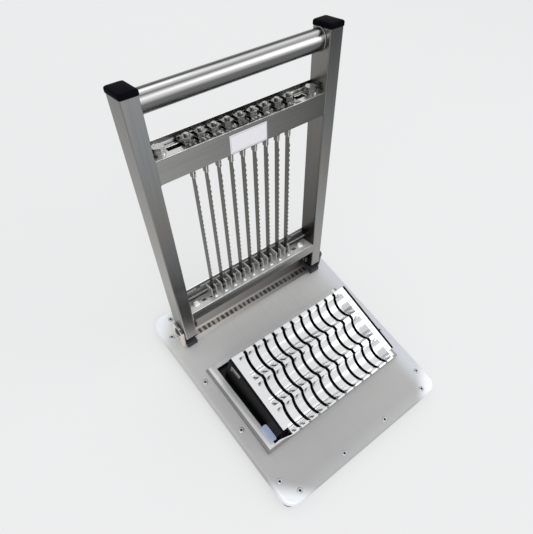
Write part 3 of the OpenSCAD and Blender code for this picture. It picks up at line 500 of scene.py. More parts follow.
def brushed(name, along, base, rough, fine=420.0, spread=0.16, metal=1.0):
    """Brushed steel: long thin streaks in tone and roughness over the colours that base gives."""
    finish = Finish(name)
    streaks = finish.noise(streak_waves(along, fine), 4.0, 0.6, LEAN)
    hairs = finish.noise(streak_waves(along, fine * 5, 25.0), 2.0, turn=LEAN)
    tone = 1.0 - spread * 1.5 + streaks * (2 * spread) + hairs * spread
    finish.set(Base_Color=finish.dim(base(finish), tone), Metallic=metal,
               Roughness=rough - 0.1 + streaks * 0.2)
    finish.bump(hairs + streaks, 0.15)
    return finish.material


def blasted(name, settings):
    """Deck sheet: fine blasted grain, seams and scratches, with painted highlights along the front and
    right edges and on the corners, and painted light that makes it paler further back.
    """
    finish = Finish(name)
    x, y, _ = finish.axes()
    low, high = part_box("deck_plate")
    half_x, half_y = (high.x - low.x) / 2, (high.y - low.y) / 2
    from_middle = y - (high.y + low.y) / 2
    to_right = half_x - x
    to_front = half_y + from_middle
    to_corner = (half_x - x.size()) + (half_y - from_middle.size())
    # Masks of the painted highlights along the right and front edges and on the corners
    right = 1 - to_right.between(settings.edge_highlight_band * 0.8, settings.edge_highlight_band * 3.0)
    front = 1 - to_front.between(0.0, settings.edge_highlight_band * 2)
    corner = 1 - to_corner.between(settings.corner_highlight_band * 0.4, settings.corner_highlight_band)
    clouds = finish.noise(7.0)
    scratches = finish.noise((260.0, 5.0, 20.0), 4.0, 0.65)
    grain = finish.noise(2600.0, 2.0)
    colour = tuple(settings.colour)
    tone = clouds * 0.4 + scratches * 0.45 + grain * 0.15
    base = finish.blend(tone, shade(colour, 0.88), shade(colour, 1.12))
    # Painted light: the sheet grows paler further back
    base = finish.dim(base, from_middle * settings.slope + 1.0)
    for place, slant in zip(settings.seams, settings.slants):
        to_seam = (x - place * MM - from_middle * slant).size()
        seam = 1 - to_seam.between(0.2 * MM, 0.9 * MM)
        base = finish.blend(seam * 0.16, base, shade(colour, 0.55))
    # Painted highlights along the front and right edges and on the corners
    base = finish.blend(front * 0.30, base, settings.front_highlight)
    base = finish.blend(right * 0.75, base, settings.right_highlight)
    base = finish.blend(corner * 0.9, base, settings.corner_highlight)
    finish.set(Base_Color=base, Metallic=0.55, Roughness=0.44 + scratches * 0.10 + clouds * 0.06)
    finish.bump(grain * 0.5 + scratches, 0.10)
    return finish.material


def polished(name, colour, rough=0.14):
    """Bright sheet and small heads: clouds and wipes on a surface with slow waves."""
    finish = Finish(name)
    clouds = finish.noise(14.0, 2.0)
    waves = finish.noise(60.0, 2.0)
    wipes = finish.noise((30.0, 400.0, 30.0))
    base = finish.blend(clouds, shade(colour, 0.92), shade(colour, 1.08))
    finish.set(Base_Color=base, Metallic=1.0, Roughness=rough + wipes * 0.08)
    finish.bump(waves, 0.3, 0.2 * MM)
    return finish.material


def hinge_strip_painted_greys(name, greys):
    """Hinge strip: warm polished sheet with greys of painted light along it, and painted dark reflections
    as short bars in a row on its top and a darker back.

    Two bars come to each step of the blades, and their width wavers."""
    finish = Finish(name)
    x, y, _ = finish.axes()
    wobble = finish.noise((130.0, 50.0, 60.0), 2.0, 0.6)
    wipes = finish.noise((30.0, 400.0, 30.0))
    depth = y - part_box("hinge_bracket")[0].y
    from_bar = finish.maths("PINGPONG", x, BLADE_STEP / 4)
    # Painted dark reflections: the bars, the dimmer band they lie in and the darker back, on the upward
    # faces only
    bars = (wobble * (8 * MM) - from_bar).between(1.0 * MM, 2.2 * MM)
    row = depth.between(4.5 * MM, 6.0 * MM) - depth.between(12.5 * MM, 15.0 * MM)
    back = depth.between(15.0 * MM, 19.0 * MM)
    dark = (bars * row * 0.88).most(back * 0.62).most(row * 0.35) * finish.facing((0.0, 0.0, 1.0))
    # Greys of painted light along the strip
    light = finish.tones(x, greys, AMBER)
    finish.set(Base_Color=finish.dim(light, 1.0 - dark), Metallic=0.4, Roughness=0.28 + wipes * 0.1)
    finish.bump(wipes, 0.1)
    return finish.material


def rim_painted_light(name, outer, top, inner):
    """Rim of the well: painted shade on its outer side, a painted highlight on its top line, and a satin
    inner part with streaks along it.
    """
    finish = Finish(name)
    x, y, _ = finish.axes()
    low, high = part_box("well_rim")
    from_edge = ((high.x - low.x) / 2 - x.size()).least(y - low.y)
    streaks = finish.noise((300.0, 8.0, 60.0), 4.0, 0.6)
    # Painted shade on the outer side up to here, and a painted highlight on the top line beyond it
    on_highlight = from_edge.between(3.6 * MM, 5.0 * MM)
    inside = from_edge.between(8.5 * MM, 11.0 * MM)
    base = finish.blend(inside, finish.blend(on_highlight, grey(outer), grey(top)), grey(inner))
    finish.set(Base_Color=finish.dim(base, streaks * 0.30 + 0.85), Metallic=1.0 - inside * 0.6,
               Roughness=0.24 + streaks * 0.2)
    finish.bump(streaks, 0.12)
    return finish.material


def plated_with_painted_shade(name, bright, dark, share=0.5, rough=0.16, top=0.42):
    """Bolts, nuts and other small metal: bright plating, with painted shade on the faces to the left and on
    top, and painted dark reflections in patches.

    A larger share gives more patches, and top is how dark the painted shade on the upper faces is."""
    finish = Finish(name)
    patches = finish.noise(300.0, 2.0)
    pits = finish.noise(2200.0, 2.0)
    # Painted shade on the faces to the left and on the upper faces, and painted dark reflections in patches
    left = finish.cosine((-0.93, -0.34, 0.10)).between(0.15, 0.75)
    upward = finish.cosine(UPWARD).between(0.7, 0.97)
    patch = patches.between(0.62 - share * 0.24, 0.74 - share * 0.24)
    base = finish.blend((left * 0.9).most(patch * 0.85).most(upward * top), bright, dark)
    finish.set(Base_Color=base, Metallic=1.0, Roughness=rough + patches * 0.16)
    finish.bump(pits, 0.12)
    return finish.material


def moulded(name, colour, rough, grain, gloss=0.5):
    """Moulded plastic or rubber: fine grain, and smears that change its tone and sheen a little."""
    finish = Finish(name)
    grains = finish.noise(900.0)
    smears = finish.noise(40.0)
    base = finish.blend(smears, shade(colour, 0.85), shade(colour, 1.25))
    finish.set(Base_Color=base, Roughness=rough + smears * 0.12 + grains * 0.06, Specular_IOR_Level=gloss)
    finish.bump(grains, grain, 0.2 * MM)
    return finish.material


def painted_black(name, colour, rough, gloss=0.5):
    """Black coated sheet with fine paler scratches, and smears that change its sheen."""
    finish = Finish(name)
    scratches = finish.noise((700.0, 12.0, 40.0), 4.0, 0.7)
    smears = finish.noise((25.0, 25.0, 60.0))
    base = finish.blend(scratches.between(0.62, 0.8), colour, shade(colour, 6.0))
    finish.set(Base_Color=base, Roughness=rough + smears * 0.15, Specular_IOR_Level=gloss)
    finish.bump(scratches, 0.08)
    return finish.material


def bordered(name, settings):
    """White plate with a thin border line just inside its edge."""
    finish = Finish(name)
    x, _, up = finish.frame_axes()
    across = settings.width / 2 - (x - settings.middle_x).size()
    along = settings.height / 2 - (up - settings.middle_up).size()
    inset = across.least(along)
    line = inset.between(0.7 * MM, 1.0 * MM) - inset.between(1.5 * MM, 1.8 * MM)
    specks = finish.noise(500.0)
    base = finish.blend(specks, shade(settings.colour, 0.95), shade(settings.colour, 1.03))
    finish.set(Base_Color=finish.blend(line * 0.6, base, settings.line), Roughness=0.28 + specks * 0.1)
    finish.bump(specks, 0.05)
    return finish.material


def paint(material, *names):
    """Gives nodes one material in place of their own."""
    for name in names:
        NODES[name].data.materials.clear()
        NODES[name].data.materials.append(material)


def soften(width, *names, segments=2):
    """Rounds the sharp edges of nodes with live modifiers."""
    for name in names:
        weld = NODES[name].modifiers.new("weld", "WELD")
        weld.merge_threshold = 0.01 * MM
        bevel = NODES[name].modifiers.new("edge", "BEVEL")
        bevel.width = width
        bevel.segments = segments
        bevel.limit_method = "ANGLE"
        bevel.angle_limit = math.radians(40)
        bevel.use_clamp_overlap = True
        bevel.harden_normals = False


# Settings
def colour_setting(name, description, default):
    """A colour that a user can change."""
    return FloatVectorProperty(name=name, description=description, default=default, subtype="COLOR")


def length_setting(name, description, default, **limits):
    """A length in metres that a user can change."""
    return FloatProperty(name=name, description=description, default=default, unit="LENGTH", **limits)


class SteelSettings(bpy.types.PropertyGroup):
    """Colours of the metal parts."""

    bar: colour_setting("Front bar", "Colour of the bright bar of the lower member", (0.58, 0.58, 0.56))
    blade: colour_setting("Blades", "Colour of the ground blades", (0.125, 0.122, 0.112))
    cradle: colour_setting("Cradle", "Colour of the bright trough sheet", (0.86, 0.87, 0.88))
    holder: colour_setting("Holders", "Colour of the folded blade holders", (0.52, 0.52, 0.51))
    rod: colour_setting("Rod", "Colour of the threaded rod", (0.22, 0.22, 0.21))
    deck_screw: colour_setting("Deck screws", "Colour of the screw heads on the deck", (0.50, 0.52, 0.55))
    holder_screw: colour_setting(
        "Holder screws", "Colour of the screw heads on the holders", (0.88, 0.89, 0.90))
    plating: colour_setting("Plating", "Colour of the bright bolts and nuts", (0.74, 0.74, 0.72))
    # The dark plating is the colour of the painted shade and dark reflections on the bolts and nuts
    shadow: colour_setting(
        "Dark plating", "Colour of the dark patches on the bolts and nuts", (0.06, 0.06, 0.055))
    bush: colour_setting("Bushes", "Colour of the bronze bushes", (0.36, 0.29, 0.18))
    # The dark bushes' colour is their painted shade and dark reflections
    bush_shadow: colour_setting(
        "Dark bushes", "Colour of the dark patches on the bushes", (0.12, 0.10, 0.07))


class DarkSettings(bpy.types.PropertyGroup):
    """Colours of the coated, rubber and plastic parts."""

    # The near black of the tray and of the supports is painted shade, where they lie in deep shade
    tray: colour_setting("Tray", "Colour of the coated tray", (0.006, 0.006, 0.007))
    support: colour_setting("Supports", "Colour of the cradle's ends and supports", (0.004, 0.004, 0.005))
    base_bar: colour_setting("Base bars", "Colour of the bars under the deck", (0.02, 0.02, 0.022))
    rubber: colour_setting("Rubber", "Colour of the feet and the stop blocks", (0.022, 0.024, 0.030))
    pad: colour_setting("Pads", "Colour of the landing pads", (0.42, 0.51, 0.68))
    cap: colour_setting("Caps", "Colour of the tubes' caps", (0.004, 0.004, 0.006))
    # The sockets' colour is painted shade in the screws' recesses
    socket: colour_setting("Sockets", "Colour inside the sockets of the screws", (0.02, 0.02, 0.022))


class DeckSettings(bpy.types.PropertyGroup):
    """Finish of the deck sheet."""

    colour: colour_setting("Colour", "Colour of the blasted sheet", (0.525, 0.525, 0.515))
    # The front, right and corner colours, and the edge and corner bands below, are painted highlights
    front_highlight: colour_setting("Front colour", "Colour along the front edge", (0.60, 0.61, 0.62))
    right_highlight: colour_setting("Right colour", "Colour along the right edge", (0.66, 0.69, 0.74))
    corner_highlight: colour_setting("Corner colour", "Colour of the bright corners", (0.92, 0.94, 0.97))
    # The slope is painted light that makes the sheet paler further back
    slope: FloatProperty(
        name="Slope", description="How much paler the sheet is for each metre further back", default=1.35)
    edge_highlight_band: length_setting("Edge band", "Width of the brighter band along the edges", 0.014, min=0.001)
    corner_highlight_band: length_setting("Corner band", "Reach of the bright corners", 0.060, min=0.005)
    seams: FloatVectorProperty(
        name="Seams", description="Places of the faint lines across the deck, in millimetres",
        default=(-60.0, 2.0, 63.0))
    slants: FloatVectorProperty(
        name="Slants", description="How far each seam runs sideways for each metre back",
        default=(0.07, 0.03, 0.0))


class CapSettings(bpy.types.PropertyGroup):
    """The moulded caps on the uprights."""

    edge: length_setting("Edge", "Radius of the rounded top edge", 0.0020)
    corner: length_setting("Corner", "Radius of the upright corners", 0.0026)
    foot: length_setting("Foot", "Size of the small chamfer at the foot", 0.0004)
    crown: length_setting("Crown", "Rise of the top to its middle", 0.0005)


class ThreadSettings(bpy.types.PropertyGroup):
    """Threads that show on the rod and on the stems of the forks."""

    rod_pitch: length_setting("Rod pitch", "Step of the rod's thread", 0.0016)
    rod_depth: length_setting("Rod depth", "Depth of the rod's thread", 0.00045)
    stem_pitch: length_setting("Stem pitch", "Step of the stems' thread", 0.0010)
    stem_depth: length_setting("Stem depth", "Depth of the stems' thread", 0.0001)
    stem_radius: length_setting("Stem radius", "Outer radius of the stems' thread", 0.00312)
    stem_length: length_setting("Stem length", "Length of thread that is modelled on each stem", 0.0030)
    stem_rise: length_setting("Stem rise", "How far the thread stands above the plain stem", 0.0004)


class ScrewSettings(bpy.types.PropertyGroup):
    """Screw heads on the deck and on the holders."""

    deck_radius: length_setting("Deck head", "Radius of a head on the deck", 0.0045)
    deck_socket: length_setting("Deck socket", "Width of its socket", 0.0036)
    deck_depth: length_setting("Deck socket depth", "Depth of its socket", 0.0009)
    side_step: length_setting("Side step", "Step of the screws along the deck's sides", 0.0923)
    end_step: length_setting("End step", "Step of the screws along the deck's front and back", 0.090)
    holder_radius: length_setting("Holder head", "Radius of a head on a holder", 0.0030)
    holder_height: length_setting("Holder head height", "Height of that head", 0.0018)
    holder_socket: length_setting("Holder socket", "Width of its socket", 0.0016)
    holder_depth: length_setting("Holder socket depth", "Depth of its socket", 0.0007)
    holder_out: length_setting("Holder place", "Place of that screw out from the frame's middle", 0.0080)


class WeldSettings(bpy.types.PropertyGroup):
    """Weld beads at the handle and at the members."""

    handle_radius: length_setting("Handle bead", "Radius of the beads round the handle", 0.0009)
    side_radius: length_setting("Side bead", "Radius of the beads beside the members", 0.0012)
    under_radius: length_setting("Under bead", "Radius of the beads under the members", 0.0009)
    side_out: length_setting("Side place", "Place of the side beads out from the frame's middle", 0.0139)
    upper_span: FloatVectorProperty(
        name="Upper beads", description="Lower and upper end of the side beads of the upper member",
        default=(0.2336, 0.2584), size=2, unit="LENGTH")
    lower_span: FloatVectorProperty(
        name="Lower beads", description="Lower and upper end of the side beads of the lower member",
        default=(0.0202, 0.0348), size=2, unit="LENGTH")
    under_reach: length_setting(
        "Under reach", "How far the beads under the members run to front and back", 0.0135)


class PlateSettings(bpy.types.PropertyGroup):
    """The bare white plate on the upper member."""

    width: length_setting("Width", "Width of the plate", 0.0535)
    height: length_setting("Height", "Height of the plate", 0.0200)
    thickness: length_setting("Thickness", "Thickness of the plate", 0.0006)
    corner: length_setting("Corner", "Radius of its corners", 0.0008)
    middle_x: length_setting("Middle", "Place along the member", -0.0005)
    middle_up: length_setting("Height of middle", "Place up the frame", 0.2445)
    colour: colour_setting("Colour", "Colour of the plate", (0.80, 0.79, 0.82))
    line: colour_setting("Border", "Colour of its border line", (0.42, 0.36, 0.44))


class StageSettings(bpy.types.PropertyGroup):
    """Camera, background and floor."""

    focal_px: FloatProperty(
        name="Focal length", description="Focal length in picture pixels", default=404.4)
    centre_px: FloatVectorProperty(
        name="Optical centre", description="Place of the optical axis in picture pixels",
        default=(253.4, 365.8), size=2)
    turn: FloatVectorProperty(
        name="Turn", description="Azimuth, elevation and roll in degrees", default=(-56.67, 66.35, 20.63))
    stand: FloatVectorProperty(
        name="Stand", description="Place of the camera from the hinge",
        default=(-0.28862, -0.246544, 0.56518), subtype="TRANSLATION")
    pale: FloatProperty(name="Pale", description="Brightness of the background", default=0.847)
    light: colour_setting("Room light", "Colour of the light from the room", (0.95, 0.97, 1.0))
    light_strength: FloatProperty(
        name="Room light strength", description="Strength of the light from the room", default=0.75)
    floor_shade: FloatProperty(
        name="Floor", description="Colour of the floor as a share of the background", default=0.35)
    floor_glow: FloatProperty(
        name="Floor glow", description="Share of the background that the floor gives off", default=0.66)


# Operators
class CUTTER_OT_steel(bpy.types.Operator):
    """Finish the deck, rim, cradle, uprights, members, handle, blades and hinge strip"""

    bl_idname = "cutter.steel"
    bl_label = "Steel finishes"

    def execute(self, context):
        steel = context.scene.cutter_steel
        paint(blasted("deck_grain_and_highlights", context.scene.cutter_deck), "deck_plate")
        # The rim's outer grey is painted shade, and its top grey a painted highlight
        paint(rim_painted_light("rim_shade_and_highlight", outer=134, top=218, inner=190), "well_rim")
        paint(polished("cradle_finish", steel.cradle), "trough_fingers", "end_trough_left",
              "end_trough_right", "cradle_front_wall")
        for side, greys in UPRIGHT_PAINTED_LIGHT.items():
            # Each upright's greys are painted highlights, reflections and shade
            tube = brushed(f"{side}_tube_finish", "Z", upright_painted_greys(**greys), rough=0.30, fine=350.0)
            paint(tube, f"upright_{side}")
        # The members' greys are painted reflections and shade along the front, and painted highlights on
        # top
        upper = member_painted_shading(UPPER_MEMBER_PAINTED_LIGHT, rest=120, top=250)
        paint(brushed("upper_member_painted_greys", "X", upper, rough=0.30, fine=350.0), "upper_channel")
        lower = member_painted_shading(LOWER_MEMBER_PAINTED_LIGHT, rest=200, top=252)
        paint(brushed("lower_member_painted_greys", "X", lower, rough=0.30, fine=350.0, metal=0.6),
              "lower_channel")
        # The slot plate's dark mottled middle is painted shade
        slotted = slot_plate_painted_shade(light=205, dark=62)
        paint(brushed("bar_finish", "X", slotted, rough=0.22, fine=300.0), "upper_slot_plate")
        paint(brushed("low_bar_finish", "X", cloudy(steel.bar), rough=0.34, fine=300.0, metal=0.35),
              "lower_front_bar")
        # The back bar's greys are painted dark reflections and shade
        back_bar = member_painted_shading(BACK_BAR_PAINTED_SHADE, rest=110, top=170)
        paint(brushed("back_bar_dark_reflections", "X", back_bar, rough=0.30, fine=300.0, metal=0.35),
              "lower_back_bar")
        handle = handle_painted_greys(HANDLE_PAINTED_LIGHT)
        paint(brushed("handle_painted_highlights", "X", handle, rough=0.26, fine=160.0, spread=0.12), "handle_tube")
        paint(brushed("blade_finish", "Z", cloudy(steel.blade), rough=0.28, fine=600.0), *BLADES)
        paint(hinge_strip_painted_greys("bracket_painted_light", HINGE_STRIP_PAINTED_LIGHT), "hinge_bracket")
        return {"FINISHED"}


class CUTTER_OT_fasteners(bpy.types.Operator):
    """Finish the bolts, nuts, washers, foot screws, forks, pins, spacers, clips, holders and bushes"""

    bl_idname = "cutter.fasteners"
    bl_label = "Fastener finishes"

    def execute(self, context):
        steel = context.scene.cutter_steel
        bright, dark = steel.plating, steel.shadow
        # Each plated finish below carries painted shade on the left and upper faces, and painted dark
        # reflections in patches
        paint(plated_with_painted_shade("plated_finish", bright, dark), "tension_washers", "member_end_nuts", "foot_screws")
        paint(plated_with_painted_shade("end_bolt_finish", bright, dark, share=0.2, top=0.3), "upper_end_bolts")
        paint(plated_with_painted_shade("nut_finish", shade(bright, 0.75), dark, share=0.8), "tension_nuts")
        paint(plated_with_painted_shade("round_head_finish", bright, dark, share=0.25), "cradle_clips")
        paint(polished("dome_finish", shade(bright, 1.1), rough=0.5), "lower_end_bolts")
        paint(plated_with_painted_shade("fork_finish", shade(bright, 1.1), shade(dark, 1.3), share=0.35, rough=0.18, top=0.2),
              "tension_forks")
        paint(plated_with_painted_shade("dark_bolt_finish", shade(bright, 0.35), dark, share=0.4, rough=0.25),
              "pivot_bolt_left", "pivot_bolt_right", "pivot_nut_left", "pivot_nut_right", "blade_pins",
              "blade_spacers")
        paint(brushed("holder_finish", "Y", cloudy(steel.holder, 0.2), rough=0.32, fine=500.0, metal=0.35),
              "lower_holders")
        paint(plated_with_painted_shade("bush_finish", steel.bush, steel.bush_shadow, share=0.3), "pivot_bush_left",
              "pivot_bush_right")
        return {"FINISHED"}


class CUTTER_OT_dark_parts(bpy.types.Operator):
    """Finish the black sheet, the rubber, the pads and the caps"""

    bl_idname = "cutter.dark_parts"
    bl_label = "Black and soft parts"

    def execute(self, context):
        parts = context.scene.cutter_dark
        # Painted shade: the tray and the cradle's ends and supports are near black where they lie in deep
        # shade
        paint(painted_black("tray_painted_shade", parts.tray, rough=0.16, gloss=0.22), "well_tray")
        paint(painted_black("support_painted_shade", parts.support, rough=0.42, gloss=0.08), "cradle_end_left",
              "cradle_end_right", "cradle_back_support", "cradle_ridge_supports")
        paint(painted_black("bar_finish_black", parts.base_bar, rough=0.4), "base_frame")
        paint(moulded("rubber_finish", parts.rubber, rough=0.45, grain=0.3), "base_feet",
              "stop_block_left", "stop_block_right")
        paint(moulded("pad_finish", parts.pad, rough=0.38, grain=0.08), "landing_pad_left",
              "landing_pad_right")
        paint(moulded("cap_finish", parts.cap, rough=0.30, grain=0.02, gloss=0.003), "top_cap_left",
              "top_cap_right", "bottom_cap_left", "bottom_cap_right")
        return {"FINISHED"}


class CUTTER_OT_soften(bpy.types.Operator):
    """Round the sharp edges of the pads, blocks, rim, members, bars, nuts, bolts and holders"""

    bl_idname = "cutter.soften"
    bl_label = "Soft edges"

    def execute(self, context):
        soften(1.2 * MM, "landing_pad_left", "landing_pad_right", segments=3)
        soften(1.0 * MM, "stop_block_left", "stop_block_right", segments=3)
        soften(0.4 * MM, "well_rim", "upper_channel", "lower_channel", "upper_slot_plate",
               "lower_front_bar", "lower_back_bar", "hinge_bracket")
        soften(0.3 * MM, "tension_nuts", "tension_washers", "upper_end_bolts", "lower_holders")
        return {"FINISHED"}


class CUTTER_OT_caps(bpy.types.Operator):
    """Model the moulded black caps on the uprights"""

    bl_idname = "cutter.caps"
    bl_label = "Tube caps"

    def execute(self, context):
        settings = context.scene.cutter_cap
        material = bpy.data.materials["cap_finish"]
        for side in ("left", "right"):
            cap = make_piece(f"moulded_cap_{side}", [cap_surface(side, settings)], "blade_frame",
                             material)
            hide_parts(f"top_cap_{side}")
        return {"FINISHED"}


def cap_surface(side, settings):
    """The cap of one upright: rings of a rounded rectangle, drawn in round the top edge.

    Two rings make the chamfer at the foot. Then each ring is drawn in by edge (1 - cos a) and raised by
    edge sin a as a goes from 0 to a right angle. The last rings are shares of the top ring, and rise
    by crown (1 - share ^ 2)."""
    low, high = box_on_frame(f"top_cap_{side}")
    width, depth = (high - low)[:2]
    foot_up = box_on_frame(f"upright_{side}")[1][2]
    shoulder = high[2] - foot_up - settings.edge
    angles = np.linspace(0, math.pi / 2, 7)
    rings = [(settings.foot, 0.0), (0.0, settings.foot)]
    rings += [(settings.edge * (1 - math.cos(a)), shoulder + settings.edge * math.sin(a)) for a in angles]
    outline = rounded_ring(width, depth, settings.corner)
    points = []
    for inset, rise in rings:
        flat = outline * np.array([1 - 2 * inset / width, 1 - 2 * inset / depth])
        points.append(np.column_stack([flat, np.full(len(flat), rise)]))
    top = points[-1]
    for share in (0.85, 0.6, 0.3, 0.05):
        points.append(np.column_stack([top[:, :2] * share, top[:, 2] + settings.crown * (1 - share ** 2)]))
    grid = np.array(points)
    grid[..., 0] += (low[0] + high[0]) / 2
    grid[..., 2] += foot_up
    return tube_mesh(to_row(grid))


def thread_rings(length, radius, pitch, depth, columns=16, per_turn=5):
    """A threaded cylinder along its first axis, from 0 to length.

    The radius at place s and angle a is radius - depth tri(s / pitch - a / turn), where tri is a
    triangle wave from 0 to 1. A chamfer draws both ends in to 0.82 of that."""
    rows = max(6, int(length / pitch * per_turn))
    s = np.linspace(0, length, rows)[:, None]
    a = round_angles(columns)
    phase = (s / pitch - a / (2 * math.pi)) % 1.0
    wave = np.abs(2 * phase - 1)
    chamfer = np.clip(np.minimum(s, length - s) / (pitch * 0.6), 0, 1)
    r = (radius - depth * wave) * (0.82 + 0.18 * chamfer)
    return np.stack([np.broadcast_to(s, r.shape), r * np.cos(a), r * np.sin(a)], -1)


class CUTTER_OT_threads(bpy.types.Operator):
    """Model the threads of the rod and of the forks' stems"""

    bl_idname = "cutter.threads"
    bl_label = "Threads"

    def execute(self, context):
        settings = context.scene.cutter_thread
        low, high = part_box("lower_rod")
        _, middle_out, middle_up = middle_on_frame("lower_rod")
        radius = (high.z - low.z) / 2
        grid = thread_rings(high.x - low.x, radius, settings.rod_pitch, settings.rod_depth)
        grid += np.array([low.x, middle_out, middle_up])
        dark = brushed("rod_finish", "X", cloudy(context.scene.cutter_steel.rod), rough=0.25)
        rod = make_piece("threaded_rod", [tube_mesh(to_row(grid))], "blade_frame", dark)
        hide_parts("lower_rod")
        stem_top = box_on_frame("tension_forks")[1][2] + settings.stem_rise
        grid = thread_rings(settings.stem_length, settings.stem_radius, settings.stem_pitch,
                            settings.stem_depth, columns=24)
        stem = np.roll(grid, -1, -1) + np.array([0.0, 0.0, stem_top - settings.stem_length])
        stems = [tube_mesh(to_row(stem + np.array([x, 0.0, 0.0]))) for x in BLADE_X]
        make_piece("stem_threads", stems, "blade_frame", bpy.data.materials["plated_finish"])
        return {"FINISHED"}


def socket_head(radius, height, socket, depth, rows=14, columns=40):
    """A round screw head with a round socket, its base at 0.

    The height at radius r is the height of a dome, height (1 - (r / radius) ^ 4). Within half the
    socket's width it falls by the socket's depth, over a tenth of the radius."""
    r = np.linspace(0.02, 1.0, rows)[:, None] * radius
    a = round_angles(columns)
    inside = np.clip((socket / 2 - r) / (radius * 0.1) + 0.5, 0, 1)
    z = height * (1 - (r / radius) ** 4) - depth * inside + 0 * a
    top = np.stack([r * np.cos(a), r * np.sin(a), z], -1)[::-1]
    skirt = top[:1].copy()
    skirt[..., 2] = -0.2 * MM
    return np.concatenate([skirt, top])


def socket_shade_disc(radius, height, columns=24):
    """A flat disc of painted shade at a height, as rings from its edge to its middle."""
    a = round_angles(columns)
    r = np.array([1.0, 0.5, 0.02])[:, None] * radius
    return np.stack([r * np.cos(a), r * np.sin(a), 0 * r + height + 0 * a], -1)


def screw_set(kind, head, disc, spots, body, metal, black):
    """The heads of like screws, and black discs of painted shade in their sockets. It returns the heads.

    On the blade frame, head, disc and spots are x, out and up. On the base they are in the row frame."""
    place = to_row if body == "blade_frame" else np.asarray
    heads = make_piece(f"{kind}_screw_heads", [tube_mesh(place(head + spot)) for spot in spots], body,
                       metal)
    make_piece(f"{kind}_screw_socket_shade", [tube_mesh(place(disc + spot)) for spot in spots], body,
               black)
    return heads


class CUTTER_OT_screws(bpy.types.Operator):
    """Model the screw heads on the deck and on the blade holders"""

    bl_idname = "cutter.screws"
    bl_label = "Screw heads"

    def execute(self, context):
        settings = context.scene.cutter_screw
        steel = context.scene.cutter_steel
        black = moulded("socket_painted_shade", context.scene.cutter_dark.socket, rough=0.5, grain=0.05)
        # The black disc of painted shade is a little narrower than its socket, and lies just above the
        # socket's floor
        disc_gap = 0.1 * MM
        low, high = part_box("deck_screws")
        plate_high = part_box("deck_plate")[1]
        half_x = (high.x - low.x) / 2 - settings.deck_radius
        half_y = (high.y - low.y) / 2 - settings.deck_radius
        mid_y = (low.y + high.y) / 2
        steps = (-1.5, -0.5, 0.5, 1.5)
        places = [(sign * half_x, mid_y + k * settings.side_step) for sign in (-1, 1) for k in steps]
        places += [(k * settings.end_step, mid_y + sign * half_y) for sign in (-1, 1) for k in steps]
        spots = [np.array([x, y, plate_high.z]) for x, y in places]
        height = high.z - plate_high.z
        head = socket_head(settings.deck_radius, height, settings.deck_socket, settings.deck_depth)
        disc = socket_shade_disc(settings.deck_socket / 2 - disc_gap,
                           height - settings.deck_depth + 2 * disc_gap)
        heads = screw_set("deck", head, disc, spots, "base",
                          polished("deck_screw_finish", steel.deck_screw, rough=0.40), black)
        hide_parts("deck_screws")
        height = settings.holder_height
        seat = box_on_frame("lower_holder_screws")[1][2] - height
        spots = [np.array([x, settings.holder_out, seat]) for x in BLADE_X]
        head = socket_head(settings.holder_radius, height, settings.holder_socket, settings.holder_depth)
        disc = socket_shade_disc(settings.holder_socket / 2 - disc_gap,
                           height - settings.holder_depth + disc_gap)
        heads = screw_set("holder", head, disc, spots, "blade_frame",
                          polished("screw_finish", steel.holder_screw, rough=0.34), black)
        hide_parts("lower_holder_screws")
        return {"FINISHED"}


def weld_bead(path, radius, ripples, columns=10):
    """A weld bead: a circle carried along a path of points on the blade frame.

    The circle's radius is radius (1 + 0.12 cos(turn x ripples x share of the way))."""
    path = to_row(path)
    steps = np.linalg.norm(np.diff(path, axis=0), axis=1)
    s = np.concatenate([[0], np.cumsum(steps)])
    tangent = np.gradient(path, axis=0)
    tangent /= np.linalg.norm(tangent, axis=1)[:, None]
    side = np.cross(tangent, [1.0, 0.31, 0.17])
    side /= np.linalg.norm(side, axis=1)[:, None]
    other = np.cross(tangent, side)
    a = round_angles(columns)[..., None]
    r = radius * (1 + 0.12 * np.cos(2 * math.pi * ripples * s / s[-1]))[:, None, None]
    return path[:, None, :] + r * (np.cos(a) * side[:, None, :] + np.sin(a) * other[:, None, :])


def straight_path(start, end, count):
    """Points at even steps along a straight line."""
    share = np.linspace(0, 1, count)[:, None]
    return np.array(start) * (1 - share) + np.array(end) * share


class CUTTER_OT_welds(bpy.types.Operator):
    """Model the weld beads at the handle, beside the members and under them"""

    bl_idname = "cutter.welds"
    bl_label = "Weld beads"

    def execute(self, context):
        settings = context.scene.cutter_weld
        low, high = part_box("handle_tube")
        _, middle_out, middle_up = middle_on_frame("handle_tube")
        handle_r = (high.y - low.y) / 2
        a = np.linspace(0, 2 * math.pi, 97)
        ring = np.stack([0 * a, middle_out + handle_r * np.cos(a), middle_up + handle_r * np.sin(a)], -1)
        spans = {"upper_channel": settings.upper_span, "lower_channel": settings.lower_span}
        # How far the middles of the beads stand off the metal. One with a minus lies inside it.
        handle_off = 0.6 * MM
        side_off = -0.3 * MM
        under_off = 0.4 * MM
        parts = []
        for sign in (-1, 1):
            x = sign * (high.x - handle_off)
            bead = weld_bead(ring + np.array([x, 0.0, 0.0]), settings.handle_radius, ripples=34)
            parts.append(band_mesh(bead))
            for member, (start, end) in spans.items():
                x = sign * (high.x - side_off)
                line = straight_path((x, settings.side_out, start), (x, settings.side_out, end), count=40)
                parts.append(tube_mesh(weld_bead(line, settings.side_radius, ripples=9)))
                x = sign * (high.x - under_off)
                up = box_on_frame(member)[0][2] - under_off
                reach = settings.under_reach
                line = straight_path((x, -reach, up), (x, reach, up), count=60)
                parts.append(tube_mesh(weld_bead(line, settings.under_radius, ripples=16)))
        make_piece("weld_beads", parts, "blade_frame",
                   bpy.data.materials["left_tube_finish"])
        return {"FINISHED"}


